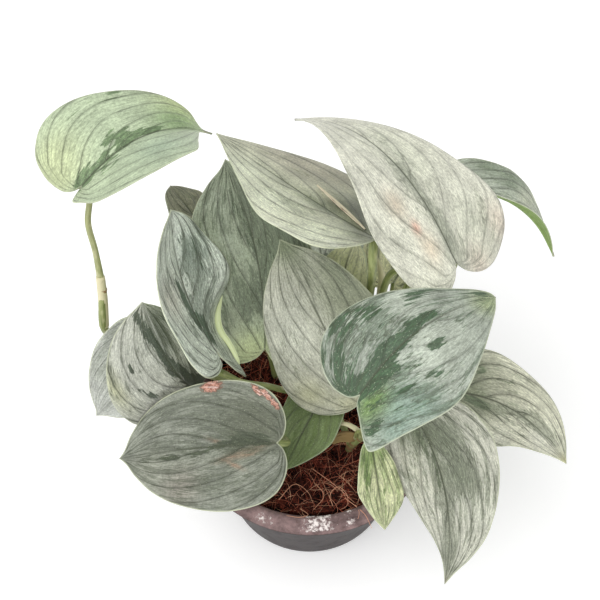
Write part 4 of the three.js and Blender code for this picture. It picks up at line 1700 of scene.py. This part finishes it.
def spots(
    reach: float, strength: float, *places: Pair, tone: Tone = NEUTRAL, stretch: float = 1, slant: float = 0
) -> tuple[Stain, ...]:
    """Like stains at several places of a blade.

    Args:
        reach: Their reach in mm.
        strength: How strong they are.
        *places: Where they are, each as t and across.
        tone: Their tone.
        stretch: How much longer they are along the rib.
        slant: Their turn from it, in degrees.

    Returns:
        The stains.
    """
    return tuple(Stain(t, across, reach, strength, stretch, slant, tone) for t, across in places)


def leaf_top_left() -> Blade:
    """The leaf on the tall stalk, high at the left."""
    finish = BladeFinish(
        silver=(187, 202, 169), green=(106, 130, 90), flecks=0.02, haze=0.06, thin=0.4, net=0.2, veins=0.62,
        tints_and_shading=spots(10, 0.75, (0.88, -0.47), tone=(196, 208, 140))
        + spots(8, 0.8, (0.02, -0.6), (-0.03, -0.33), tone=(204, 214, 166))
        + spots(6, 0.75, (0.76, -0.13), stretch=1.6, tone=(146, 178, 120))
        + spots(9, 0.55, (0.46, 0.5), tone=(158, 180, 156))
        # Dark olive at the point: painted shade of the twisted drip tip.
        + spots(1.6, 0.95, (0.99, 0), (0.965, 0), tone=(96, 98, 60))
        + spots(1.1, 0.8, (0.94, 0.16), (0.94, 0.04), stretch=0.6, tone=(134, 98, 66)),
        greens=spots(2.6, 0.62, (-0.01, -0.03), (0.08, -0.04), (0.2, -0.04), (0.36, -0.05), (0.5, -0.05),
                     (0.6, -0.04), stretch=1.5)
        + spots(1.7, 0.5, (0.4, -0.2), (0.3, -0.26), (0.24, 0.14), (0.12, 0.16), stretch=3, slant=-30)
        + spots(2.4, 0.4, (0.29, -0.97), (0.51, -0.81), stretch=2.5),
    )
    outlines = (
        ((0, 0), (-0.05, 0.07), (-0.08, 0.2), (-0.08, 0.46), (-0.042, 0.725), (0.015, 0.88), (0.095, 0.99),
         (0.2, 1.015), (0.365, 0.96), (0.555, 0.8), (0.69, 0.665), (0.82, 0.52), (0.895, 0.36),
         (0.915, 0.15), (0.935, 0.045), (1, 0)),
        ((0, 0), (-0.06, 0.01), (-0.09, 0.06), (-0.07, 0.225), (-0.02, 0.575), (0.098, 0.85), (0.25, 0.965),
         (0.408, 1.02), (0.5, 1.065), (0.55, 1.06), (0.6, 0.92), (0.66, 0.72), (0.78, 0.37), (0.895, 0.05),
         (0.93, 0.04), (1, 0)),
    )
    return Blade("leaf_top_left", (-78, 37, 162), (-35.9, 70.1, 150), 51, finish, left=12, right=27, bow=9,
                 sweep=-3, outlines=outlines)


def leaf_upper_middle() -> Blade:
    """The long leaf that points back over the middle."""
    finish = BladeFinish(
        silver=(212, 214, 188), green=(112, 126, 92), flecks=-0.1, haze=0.25, thin=0.4, net=0.3, rim=0.75,
        # Greyer over the right half, the far side of the fold: painted shade.
        tints_and_shading=spots(12, 0.7, (0.77, 0.46), (0.61, 0.59), (0.48, 0.87), tone=(182, 176, 160))
        # The next two: darker towards the stalk: painted shade.
        + spots(10, 0.75, (0.23, 0.4), (0.22, 0.8), (0, 0.4), tone=(106, 112, 88))
        + spots(6, 0.8, (0.22, 0.2), (0.12, 0.05), (0.32, 0.14), (0.05, -0.15), tone=(82, 88, 66))
        + spots(4, 0.6, (0.3, 0), (0.45, -0.02), (0.62, -0.03), stretch=2, tone=(146, 152, 124))
        # The next two: paler over the left half, the near side of the fold, with a bright line along its
        # margin: painted light.
        + spots(13, 0.85, (0.78, -0.35), (0.5, -0.6), (0.11, -0.66), tone=(240, 246, 218))
        + spots(1.2, 0.95, (0.12, -0.98), (0.3, -1), (-0.02, -0.6), stretch=6, tone=(244, 248, 226)),
        greens=spots(2, 0.3, (0.2, 0.02), (0.1, 0), stretch=3),
        hazes=spots(4, 0.5, (0.41, -0.39), stretch=2.5)
        + spots(3, 0.5, (0.37, -0.04), stretch=3),
    )
    return Blade("leaf_upper_middle", (21, 17, 160), (-34, 67, 154), 60, finish, left=2, right=5, bow=-4,
                 sweep=5, roll=-30, lobe=0.3, belly=-0.03)


def leaf_upper_right() -> Blade:
    """The largest and palest leaf, high at the right."""
    finish = BladeFinish(
        silver=(232, 232, 214), green=(150, 158, 136), flecks=-0.1, haze=0.2, thin=0.35, veins=0.5, net=0.3,
        rim=0.1,
        tints_and_shading=spots(4.5, 0.32, (0.27, -0.42), (0.08, -0.3), tone=(232, 190, 148))
        + spots(2.2, 0.6, (0.165, -0.345), tone=(228, 148, 118))
        + spots(6, 0.45, (-0.05, 0.31), (0.03, 0.84), tone=(224, 196, 180))
        + spots(12, 0.3, (0.37, 0.2), (0.08, 0.5), (0.55, 0.15), tone=(188, 196, 168))
        + spots(2.6, 0.5, (0.06, 0.03), (0.14, 0.04), (0.24, 0.02), (0.36, 0), stretch=2.2,
                tone=(142, 148, 130))
        + spots(3, 0.8, (1, 0), tone=(150, 148, 134)),
        greens=spots(1.6, 0.45, (0.13, 0.04), (0.03, 0.03), (0.24, 0), stretch=3),
        hazes=spots(3, 0.8, (0.37, -0.04), (0.24, 0), (0.13, 0.04), (0.03, 0.03), stretch=2)
        + spots(6, 0.35, (0.37, 0.09), (0.08, 0.64), (0, 0.26), (0.55, 0.15)),
        scars=spots(1.1, 0.5, (0.17, -0.35), stretch=1.5, slant=30, tone=(222, 132, 104)),
    )
    return Blade("leaf_upper_right", (48, 13, 152), (-6, 76, 151), 67, finish, right=6, bow=17, sweep=-6,
                 roll=-30, lobe=0.6, blunt=-0.3, belly=-0.17, turn=(-30, 0), nip=(0.36, 0))


def leaf_far_right() -> Blade:
    """The folded leaf that hangs out at the far right."""
    finish = BladeFinish(
        silver=(198, 206, 188), green=(116, 132, 104), under=(160, 190, 110), flecks=0.1, haze=0.35,
        tints_and_shading=spots(6, 0.8, (0.24, -0.73), (0.42, -0.51), tone=(116, 132, 106))
        + spots(4, 0.7, (0.66, -0.49), (0.57, -0.23), tone=(206, 210, 186))
        + spots(6, 0.85, (0.98, 0), stretch=1.2, tone=(126, 108, 82)),
    )
    outlines = (
        ((0, 0), (-0.05, 0.17), (-0.04, 0.4), (0, 0.6), (0.06, 0.7), (0.14, 0.74), (0.24, 0.74),
         (0.33, 0.75), (0.42, 0.75), (0.55, 0.6), (0.66, 0.37), (0.78, 0.18), (0.9, 0.05), (1, 0)),
        (),
    )
    return Blade("leaf_far_right", (50, 58, 134), (92, 42, 112), 37, finish, skew=0.15, right=46, bow=9,
                 sweep=-3, roll=10, lobe=0.9, blunt=-0.1, outlines=outlines)


def leaf_centre_right() -> Blade:
    """The leaf with the boldest green marks, which leans out over the front."""
    finish = BladeFinish(
        silver=(170, 178, 164), green=(62, 90, 60), flecks=0.2, haze=0.4, thin=0.5, veins=0.5, rim=0.8,
        margin=(206, 214, 186),
        tints_and_shading=spots(7, 0.6, (0.47, 0.3), (0.6, 0.45), (0.38, 0.62), (0.54, -0.5), tone=(196, 204, 188))
        + spots(6.5, 0.65, (0.1, 0.5), (0.18, 0.85), (0, 0.72), tone=(132, 160, 144))
        + spots(5, 0.75, (-0.03, 0.2), (0.05, 0.24), tone=(112, 146, 66))
        + spots(5, 0.7, (0.93, 0.1), (0.97, 0), tone=(182, 196, 146)),
        greens=spots(4.6, 0.66, (0.02, -0.02), (0.13, 0.02), (0.24, -0.07))
        + spots(2.8, 0.5, (0.36, -0.06), (0.48, -0.07), (0.58, -0.1), stretch=1.3)
        + spots(4.5, 0.42, (0.08, -0.5), (0.02, -0.8), (-0.02, -0.3), (0.2, -0.86), (0.36, -0.72))
        + spots(3.2, 0.4, (0.56, -0.42), (0.7, -0.5), (0.84, -0.36), (0.94, -0.1), stretch=1.5)
        + spots(2.2, 0.42, (0.2, 0.5), (0.36, 0.62), (-0.08, 0.5), (0.5, 0.3), stretch=1.6, slant=20),
        hazes=spots(7, 0.3, (0.2, 0.4), (0.38, -0.39), (0.2, -0.6))
        + spots(6, -0.35, (0.47, 0.3), (0.6, 0.45), (0.54, -0.5)),
    )
    outlines = (
        ((0, 0), (-0.03, 0.07), (-0.05, 0.18), (-0.057, 0.41), (-0.027, 0.645), (0.03, 0.83),
         (0.103, 0.935), (0.188, 0.965), (0.278, 0.945), (0.38, 0.88), (0.5, 0.75), (0.635, 0.55),
         (0.778, 0.345), (0.92, 0.2), (0.985, 0.1), (1, 0)),
        ((0, 0), (-0.045, 0.04), (-0.09, 0.19), (-0.125, 0.305), (-0.16, 0.435), (-0.18, 0.57),
         (-0.14, 0.675), (-0.06, 0.795), (0.073, 0.98), (0.217, 1.1), (0.352, 1.125), (0.468, 1.07),
         (0.578, 0.945), (0.708, 0.74), (0.835, 0.48), (0.94, 0.22), (1, 0)),
    )
    return Blade("leaf_centre_right", (15, -34, 146), (60, -2.2, 154), 49, finish, right=5, bow=8,
                 sweep=-2.6, roll=5, outlines=outlines)


def leaf_centre() -> Blade:
    """The pale leaf that stands in the middle."""
    finish = BladeFinish(
        silver=(184, 185, 168), green=(108, 118, 92), flecks=-0.1, haze=0.25, thin=0.35, veins=0.78,
        rim=0.5,
        # Darker over the right half: painted shade.
        tints_and_shading=spots(12, 0.8, (0.62, 0.83), (0.73, 0.6), (0.55, 0.4), tone=(130, 136, 112))
        # Paler over the left half: painted light.
        + spots(11, 0.75, (0.61, -0.55), (0.46, -0.43), tone=(200, 202, 186))
        + spots(7, 0.7, (0.97, 0.03), tone=(118, 136, 92))
        + spots(7, 0.6, (0.11, -0.68), (-0.02, -0.15), tone=(190, 190, 146)),
        hazes=spots(4, 0.4, (0.85, 0.1), (0.8, 0.5), stretch=2),
    )
    return Blade("leaf_centre", (18, -13, 101), (-11, 28, 144), 51, finish, right=2, bow=4, sweep=2,
                 roll=45, lobe=0.5, blunt=0.4)


def leaf_back_centre() -> Blade:
    """The dull green leaf that stands behind the middle."""
    finish = BladeFinish(
        silver=(161, 171, 147), green=(82, 96, 72), flecks=0.12, haze=0.4, rim=0.6, net=0.3,
        tints_and_shading=spots(8, 0.75, (0.81, -0.35), (0.59, -0.45), tone=(178, 188, 166))
        + spots(7, 0.7, (0.09, -0.44), tone=(180, 188, 164))
        + spots(8, 0.85, (-0.09, -0.25), (-0.02, -0.12), tone=(212, 224, 170)),
        greens=spots(4, 0.32, (0.77, -0.12), (0.58, -0.04), stretch=1.8)
        + spots(6, 0.36, (0.46, 0.35), (0.6, 0.6))
        + spots(8, -0.5, (-0.06, -0.2)),
        hazes=spots(7, 0.4, (0.25, -0.18), (0.2, 0.4))
        + spots(8, -0.5, (-0.06, -0.2))
        + spots(8, 0.6, (0.46, 0.3), (0.7, 0.2), (0.6, 0.6), stretch=1.5),
    )
    return Blade("leaf_back_centre", (-17, 10, 98), (-31, 60, 148), 56, finish, left=9, right=15, bow=-3,
                 sweep=3, roll=36, lobe=0.7, blunt=0.5, belly=0.07)


def leaf_left() -> Blade:
    """The upright leaf with one curled margin."""
    finish = BladeFinish(
        # Its silver is set near white: painted light that lifts the leaf where it sits in shade.
        silver=(242, 250, 236), green=(84, 104, 84), under=(172, 184, 150), flecks=0.05, haze=0.35, rim=0.7,
        tints_and_shading=spots(8, 0.45, (0.46, -0.58), tone=(196, 180, 168))
        + spots(7, 0.5, (0.7, 0.4), tone=(160, 178, 164)),
        greens=spots(1.3, 0.5, (0.79, 0.11), (0.72, 0.46), (0.56, 0.49), stretch=5, slant=-16)
        + spots(2.2, 0.54, (0.51, -0.21), (0.42, -0.18), (0.32, -0.1), stretch=2, slant=-20)
        + spots(3.4, 0.56, (0.25, 0), (0.17, 0.15), (0.08, 0.12), stretch=1.3),
        hazes=spots(6, 0.35, (0.6, 0.4), (0.3, 0.3), stretch=2),
    )
    outlines = (
        ((0, 0), (-0.06, 0.03), (-0.09, 0.085), (-0.12, 0.38), (-0.097, 0.705), (-0.015, 0.89),
         (0.103, 1), (0.305, 0.97), (0.488, 0.9), (0.662, 0.86), (0.785, 0.72), (0.9, 0.36),
         (0.958, 0.115), (1, 0)),
        ((0, 0), (-0.05, 0.06), (-0.087, 0.145), (-0.172, 0.37), (-0.242, 0.775), (-0.16, 0.675),
         (-0.09, 0.615), (0.035, 0.69), (0.135, 0.69), (0.2, 0.73), (0.26, 0.87), (0.33, 1.02),
         (0.42, 1.05), (0.575, 0.935), (0.698, 0.845), (0.845, 0.62), (0.943, 0.33), (1, 0)),
    )
    return Blade("leaf_left", (-34, 0, 113), (-49, 37, 149), 43, finish, left=12, right=13, bow=-5,
                 roll=-46, wave=(1, 3), phase=(0, 126), turn=(0, -38), outlines=outlines,
                 hems=(Hem(1, 0.3, 0.62, 1.2),))


def leaf_far_left() -> Blade:
    """The smooth leaf that hangs lowest at the far left."""
    finish = BladeFinish(
        silver=(207, 210, 202), green=(146, 154, 142), flecks=-0.05, haze=0.3, thin=0.4, net=0.15,
        veins=0.45,
        tints_and_shading=spots(7, 0.4, (0.5, 0.5), (0.2, -0.3), tone=(186, 192, 178)),
    )
    return Blade("leaf_far_left", (-59, 13, 106), (-82, -7, 76), 37, finish, left=7, right=13, bow=1,
                 sweep=-3, roll=46, lobe=0.9, blunt=0.4)


def leaf_mid_left() -> Blade:
    """The striped leaf at the left, half behind its neighbours."""
    finish = BladeFinish(
        silver=(204, 206, 193), green=(66, 78, 62), flecks=0.04, haze=0.3, thin=0.45,
        tints_and_shading=spots(2.5, 0.6, (0.59, -0.86), stretch=4, tone=(206, 208, 156))
        + spots(7, 0.5, (0.87, 0.2), (0.7, 0.1), tone=(150, 156, 144)),
        greens=spots(1.8, 0.6, (0.93, -0.14), (0.8, -0.08), (0.68, -0.05), (0.58, 0), stretch=2.6)
        + spots(3.4, 0.58, (0.46, 0.05), (0.3, 0.1), stretch=2.2)
        + spots(5.5, 0.6, (0.13, 0.12), (0, 0.1), stretch=1.4)
        + spots(1.5, 0.55, (0.65, -0.49), (0.49, -0.57), (0.37, -0.46), stretch=2.5, slant=-14),
        hazes=spots(5, 0.4, (0.87, 0.2), (0.7, 0.1), (0.3, 0.4), stretch=1.5),
    )
    return Blade("leaf_mid_left", (-43, 2, 82), (-59, 9, 133), 42, finish, skew=0.2, left=-4, right=-33,
                 bow=9, sweep=-4, roll=33, lobe=0.6, blunt=0.2, belly=0.15)


def leaf_lower_left() -> Blade:
    """The broad scarred leaf that reaches out at the front left."""
    finish = BladeFinish(
        silver=(149, 153, 140), green=(78, 86, 68), flecks=0.08, haze=0.45, thin=0.5, rim=0.75, net=0.28,
        tints_and_shading=spots(0.8, 0.6, (0.28, -0.2), (0.2, -0.1), (0.1, -0.04), (0.16, -0.16), stretch=6, slant=-14,
                     tone=(196, 136, 100))
        + spots(0.7, 0.55, (0.24, -0.32), (0.36, 0.08), stretch=5, slant=24, tone=(200, 140, 106))
        + spots(5, 0.7, (0.16, 0.1), (0.26, 0.08), stretch=1.5, tone=(72, 82, 70))
        + spots(8, 0.7, (0.79, -0.26), tone=(186, 188, 172))
        + spots(8, 0.45, (0.57, -0.61), tone=(172, 158, 148))
        + spots(9, 0.6, (0.13, 0.47), (0.21, 0.13), (0.04, 0.29), tone=(122, 124, 106)),
        greens=spots(3.4, 0.6, (0.1, 0.06), (0.22, 0.08), stretch=1.8)
        + spots(2, 0.5, (0.38, 0), (0.5, -0.06), (0.66, -0.1), (0.84, -0.12), stretch=2.5),
        hazes=spots(7, 0.4, (0.13, 0.47), (0.04, 0.29), (0.3, 0.5)),
        scars=spots(3, 0.92, (0.31, 0.93), stretch=1.9, slant=-12, tone=(208, 156, 136))
        + spots(1.7, 0.84, (0.05, 0.82), (0, 0.74), (-0.035, 0.6), stretch=2.2, slant=60,
                tone=(204, 156, 136)),
    )
    return Blade("leaf_lower_left", (-12, -29, 99), (-72, -24, 74), 51, finish, left=26, right=26, sweep=1,
                 roll=25, lobe=0.6, blunt=0.3)


def leaf_front_small() -> Blade:
    """The small green leaf low over the coir."""
    finish = BladeFinish(
        silver=(111, 129, 80), green=(92, 112, 60), under=(136, 152, 98), flecks=-0.1, haze=0.3, veins=0.45,
        net=0.1, rim=0.3,
        tints_and_shading=spots(5, 0.6, (0.53, 0.41), tone=(146, 162, 116))
        + spots(5, 0.6, (0.25, -0.55), tone=(106, 124, 72)),
    )
    return Blade("leaf_front_small", (4, -6, 88), (-10, -29, 74), 26, finish, bow=1, roll=-15, lobe=0.9,
                 vein_counts=(4.5, 14))


def leaf_front_low() -> Blade:
    """The small pale leaf that hangs over the rim."""
    finish = BladeFinish(
        silver=(244, 248, 200), green=(122, 148, 84), flecks=0.24, haze=0.45, veins=0.6, rim=0.4,
        tints_and_shading=spots(6, 0.7, (0.05, 0), (0.2, 0.3), tone=(150, 176, 100)),
        greens=spots(1.6, 0.42, (0.21, 0.4), (0.4, 0.45), (0.2, -0.4), stretch=2.5),
    )
    outlines = (
        ((0, 0), (-0.02, 0.12), (0.03, 0.255), (0.195, 0.62), (0.4, 0.96), (0.59, 1.07), (0.73, 0.965),
         (0.843, 0.68), (0.938, 0.31), (1, 0)),
        ((0, 0), (-0.02, 0.1), (0, 0.23), (0.09, 0.52), (0.242, 0.685), (0.393, 0.825), (0.497, 0.955),
         (0.56, 0.95), (0.635, 0.83), (0.78, 0.55), (0.907, 0.25), (1, 0)),
    )
    return Blade("leaf_front_low", (21.7, -24.2, 93), (27, -51, 71), 19, finish, left=5, roll=24,
                 vein_counts=(4.5, 14), outlines=outlines)


def leaf_lower_right() -> Blade:
    """The long leaf that hangs at the front right."""
    finish = BladeFinish(
        silver=(216, 216, 200), green=(100, 110, 86), flecks=0, haze=0.4, rib=0.95, rim=0.6,
        tints_and_shading=spots(9, 0.75, (0.12, 0), (0.19, -0.31), (0.4, -0.3), (0.1, 0.3), tone=(118, 126, 106))
        + spots(9, 0.7, (0.45, 0.74), (0.87, 0), (0.6, -0.55), tone=(206, 208, 192))
        + spots(3, 0.75, (1, 0), tone=(150, 132, 104)),
        greens=spots(2.6, 0.5, (0.08, 0.12), (0.18, 0.09), (0.3, 0.05), (0.44, 0.03), stretch=2, slant=-6),
        hazes=spots(7, 0.5, (0.12, 0), (0.19, -0.31), (0.4, -0.38))
        + spots(3, 0.5, (0.4, 0.03), (0.55, 0), (0.7, -0.02), (0.85, 0), stretch=2),
    )
    outlines = (
        ((0, 0), (-0.03, 0.08), (-0.02, 0.25), (-0.015, 0.5), (0.005, 0.745), (0.045, 0.94), (0.11, 1.06),
         (0.205, 1.12), (0.31, 1.04), (0.46, 0.88), (0.58, 0.75), (0.695, 0.6), (0.815, 0.365),
         (0.92, 0.135), (1, 0)),
        ((0, 0), (-0.032, 0.145), (-0.02, 0.41), (0.045, 0.76), (0.143, 0.94), (0.237, 1), (0.347, 0.94),
         (0.458, 0.81), (0.57, 0.65), (0.695, 0.45), (0.792, 0.25), (0.883, 0.1), (1, 0)),
    )
    return Blade("leaf_lower_right", (35.3, -19, 107), (49, -68, 61), 51, finish, bow=-4, sweep=-5,
                 roll=-51, outlines=outlines)


def leaf_right() -> Blade:
    """The leaf that reaches out at the right."""
    finish = BladeFinish(
        silver=(240, 240, 216), green=(112, 126, 98), flecks=0.08, haze=0.3, thin=0.45, rim=0.5,
        tints_and_shading=spots(7, 0.75, (0.75, 0.17), (0.4, 0.83), tone=(228, 228, 212))
        + spots(7, 0.75, (0.04, 0.07), (0.15, 0.17), (0.1, -0.5), tone=(118, 128, 98))
        + spots(7, 0.5, (0.35, -0.4), tone=(162, 164, 140))
        + spots(3, 0.7, (1, 0), tone=(206, 200, 130)),
        greens=spots(3.5, 0.55, (0.04, 0.07), (0.15, 0.17))
        + spots(3, 0.6, (0.14, -0.56), (0.36, -0.49))
        + spots(1.3, 0.4, (0.37, 0.1), stretch=3, slant=-8),
        hazes=spots(2.5, 0.5, (0.37, 0.1), (0.55, 0), (0.72, -0.08), stretch=3, slant=-8),
    )
    return Blade("leaf_right", (54, -11, 103), (92, -33, 90), 38, finish, left=9, right=4, sweep=-7,
                 roll=12, lobe=0.9)


def leaf_back_left() -> Blade:
    """The small dull leaf behind at the left."""
    finish = BladeFinish(
        silver=(152, 152, 128), green=(98, 108, 82), under=(150, 150, 130), rim=0.3,
    )
    return Blade("leaf_back_left", (-42, 54, 114), (-53, 64, 127), 22, finish, left=3, bow=3, sweep=-2,
                 roll=-18, lobe=0.7, blunt=0.4, vein_counts=(4.5, 14), blob=0.6)


def leaf_inner() -> Blade:
    """The small yellow-green leaf in among the stalks."""
    finish = BladeFinish(
        # Tones near white: painted light, for the light that shines through this leaf and lifts it in the
        # shade among the stalks.
        silver=(252, 252, 210), green=(206, 218, 160), under=(226, 232, 172), flecks=-0.3, haze=0,
        veins=0.35, net=0.12, rim=0.8,
    )
    return Blade("leaf_inner", (13, 28, 106), (17, 44, 121), 22, finish, right=5, bow=6, sweep=1, roll=22,
                 lobe=0.7, blunt=0.4, vein_counts=(4.5, 14))


def rear_leaves() -> list[Blade]:
    """The three plain leaves at the back."""
    greens = spots(4, 0.5, (0.1, 0), (0.3, 0.02)) + spots(2, 0.45, (0.55, 0), (0.7, 0), stretch=3)
    made = []
    for name, base, tip, width, silver, green, flecks, haze in (
        ("leaf_rear_middle", (6, 36, 96), (2, 79, 80), 40, (188, 194, 176), (98, 114, 86), 0.15, 0.35),
        # leaf_rear_right's tones are near white: painted light that lifts it out of the shade at the back.
        ("leaf_rear_right", (32, 36, 104), (54, 72, 86), 36, (234, 232, 194), (150, 166, 120), 0.12, 0.3),
        ("leaf_rear_left", (-30, 36, 90), (-50, 72, 76), 38, (184, 190, 174), (94, 110, 84), 0.15, 0.35),
    ):
        finish = BladeFinish(silver=silver, green=green, flecks=flecks, haze=haze, greens=greens)
        made.append(Blade(name, base, tip, width, finish, left=8, right=8, bow=6))
    return made


def blades() -> dict[str, Blade]:
    """The plant's blades by name. Their order sets each one's noise."""
    made = [
        leaf_top_left(), leaf_upper_middle(), leaf_upper_right(), leaf_far_right(),
        leaf_centre_right(), leaf_centre(), leaf_back_centre(), leaf_left(), leaf_far_left(),
        leaf_mid_left(), leaf_lower_left(), leaf_front_small(), leaf_front_low(),
        leaf_lower_right(), leaf_right(), leaf_back_left(), leaf_inner(),
        *rear_leaves(),
    ]
    for number, blade in enumerate(made):
        blade.seed = SEED_STEP * number + FIRST_SEED
    return {blade.name: blade for blade in made}


def vines() -> list[Vine]:
    """The plant's vines."""
    front_bud = ((19, -17.5, 79), (17.8, -17.2, 83.8), (13, -15.9, 87), (10, -15.8, 86.4), (9.2, -16.8, 85))
    return [
        Vine(
            "vine_left",
            ((-26, 10, 62), (-28, 11, 68), (-50, 18, 78), (-72, 20, 92), (-76, 13, 108), (-75, 20, 124)),
            (Stalk("leaf_top_left", 1, ((-76, 26.6, 138), (-77.4, 31.5, 149)), 0.92, 0.2),
             Stalk("leaf_far_left", 0.45), Stalk("leaf_mid_left", 0.12)),
            (Bud(((-75.2, 22, 129), (-75.3, 18.3, 120), (-76, 13.4, 109)), 1.85, 0.95, (0.68, 0.5)),),
        ),
        Vine(
            "vine_back", ((-14, 18, 62), (-16, 21, 76), (-22, 26, 90)),
            (Stalk("leaf_back_centre", 0.6), Stalk("leaf_back_left", 1, ((-36, 46, 102),)),
             Stalk("leaf_rear_left", 0.5)),
        ),
        Vine(
            "vine_centre", ((6, 12, 62), (10, 14, 84), (20, 16, 108)),
            (Stalk("leaf_upper_middle", 1, ((21, 17, 128),), 1.25), Stalk("leaf_inner", 0.7),
             Stalk("leaf_rear_middle", 0.5), Stalk("leaf_centre", 0.4),
             Stalk("leaf_left", 0.25, ((-1, 4, 78), (-8.3, 0.6, 82), (-16.3, -1.6, 90), (-26, -3.7, 97.5)))),
        ),
        Vine(
            "vine_right", ((27, 6, 62), (28, 8, 84), (26, 13, 110)),
            (Stalk("leaf_upper_right", 1, ((25, 15, 123), (28.8, 18, 139)), 1.1),
             Stalk("leaf_far_right", 0.85), Stalk("leaf_rear_right", 0.7), Stalk("leaf_right", 0.5)),
            (Bud(((27, 12, 104), (25.8, 20, 116), (25.5, 24, 126), (23.5, 27.6, 133)), 2.0, 0.8),),
        ),
        Vine(
            "vine_front", ((15, -15, 62), (16, -16, 70), (19, -18, 80)),
            (Stalk("leaf_centre_right", 1), Stalk("leaf_lower_right", 0.3, ((30, -7, 80), (40, -6, 94))),
             Stalk("leaf_front_low", 0.6, (), 0.6), Stalk("leaf_front_small", 0.4)),
            (Bud(front_bud, 1.0),),
        ),
        Vine(
            "vine_front_left", ((-16, -8, 62), (-17, -9, 68), (-18, -10, 75)),
            (Stalk("leaf_lower_left", 1),),
        ),
    ]


def husks(leaves: dict[str, Blade]) -> list[Husk]:
    """The dry bits that cling to the plant.

    Args:
        leaves: The blades by name.

    Returns:
        A sliver on one blade and an old sheath at the front.
    """
    bearer = leaves["leaf_upper_middle"]
    t = np.linspace(0.48, 0.08, 6)
    w = bearer.half * np.linspace(0.28, 0.02, 6)
    normals = bearer.normal(t, w)
    bed = bearer.surface(t, w) + 0.9 * normals
    sheath = ((20, -17, 75), (16, -17, 79.5), (11, -17.5, 80), (8, -19, 77))
    return [
        Husk(
            "sliver_upper_middle", bearer.name, Slot.BLADE, tuple(map(tuple, bed.tolist())), 2.0,
            tuple(normals[0].tolist()), (232, 222, 196), (156, 124, 100), 0.35,
        ),
        Husk(
            "sheath_front", "vine_front", Slot.STEM, sheath, 5.0,
            (-0.3, -0.8, 0.6), (150, 126, 84), (84, 66, 38), 0.5,
        ),
    ]


def main() -> None:
    """Builds the pot, the coir, the vines, the blades and the studio."""
    logging.basicConfig(level=logging.INFO, format="%(name)s: %(message)s")
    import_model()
    Studio().build()
    pot = Pot()
    pot.build(PlasticFinish())
    Coir(pot).build(CoirFinish())
    leaves = blades()
    skin = StemFinish().material()
    for vine in vines():
        vine.build(leaves, skin)
    for husk in husks(leaves):
        husk.build(StemFinish())
    for blade in leaves.values():
        blade.build()
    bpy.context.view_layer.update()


if __name__ == "__main__":
    main()
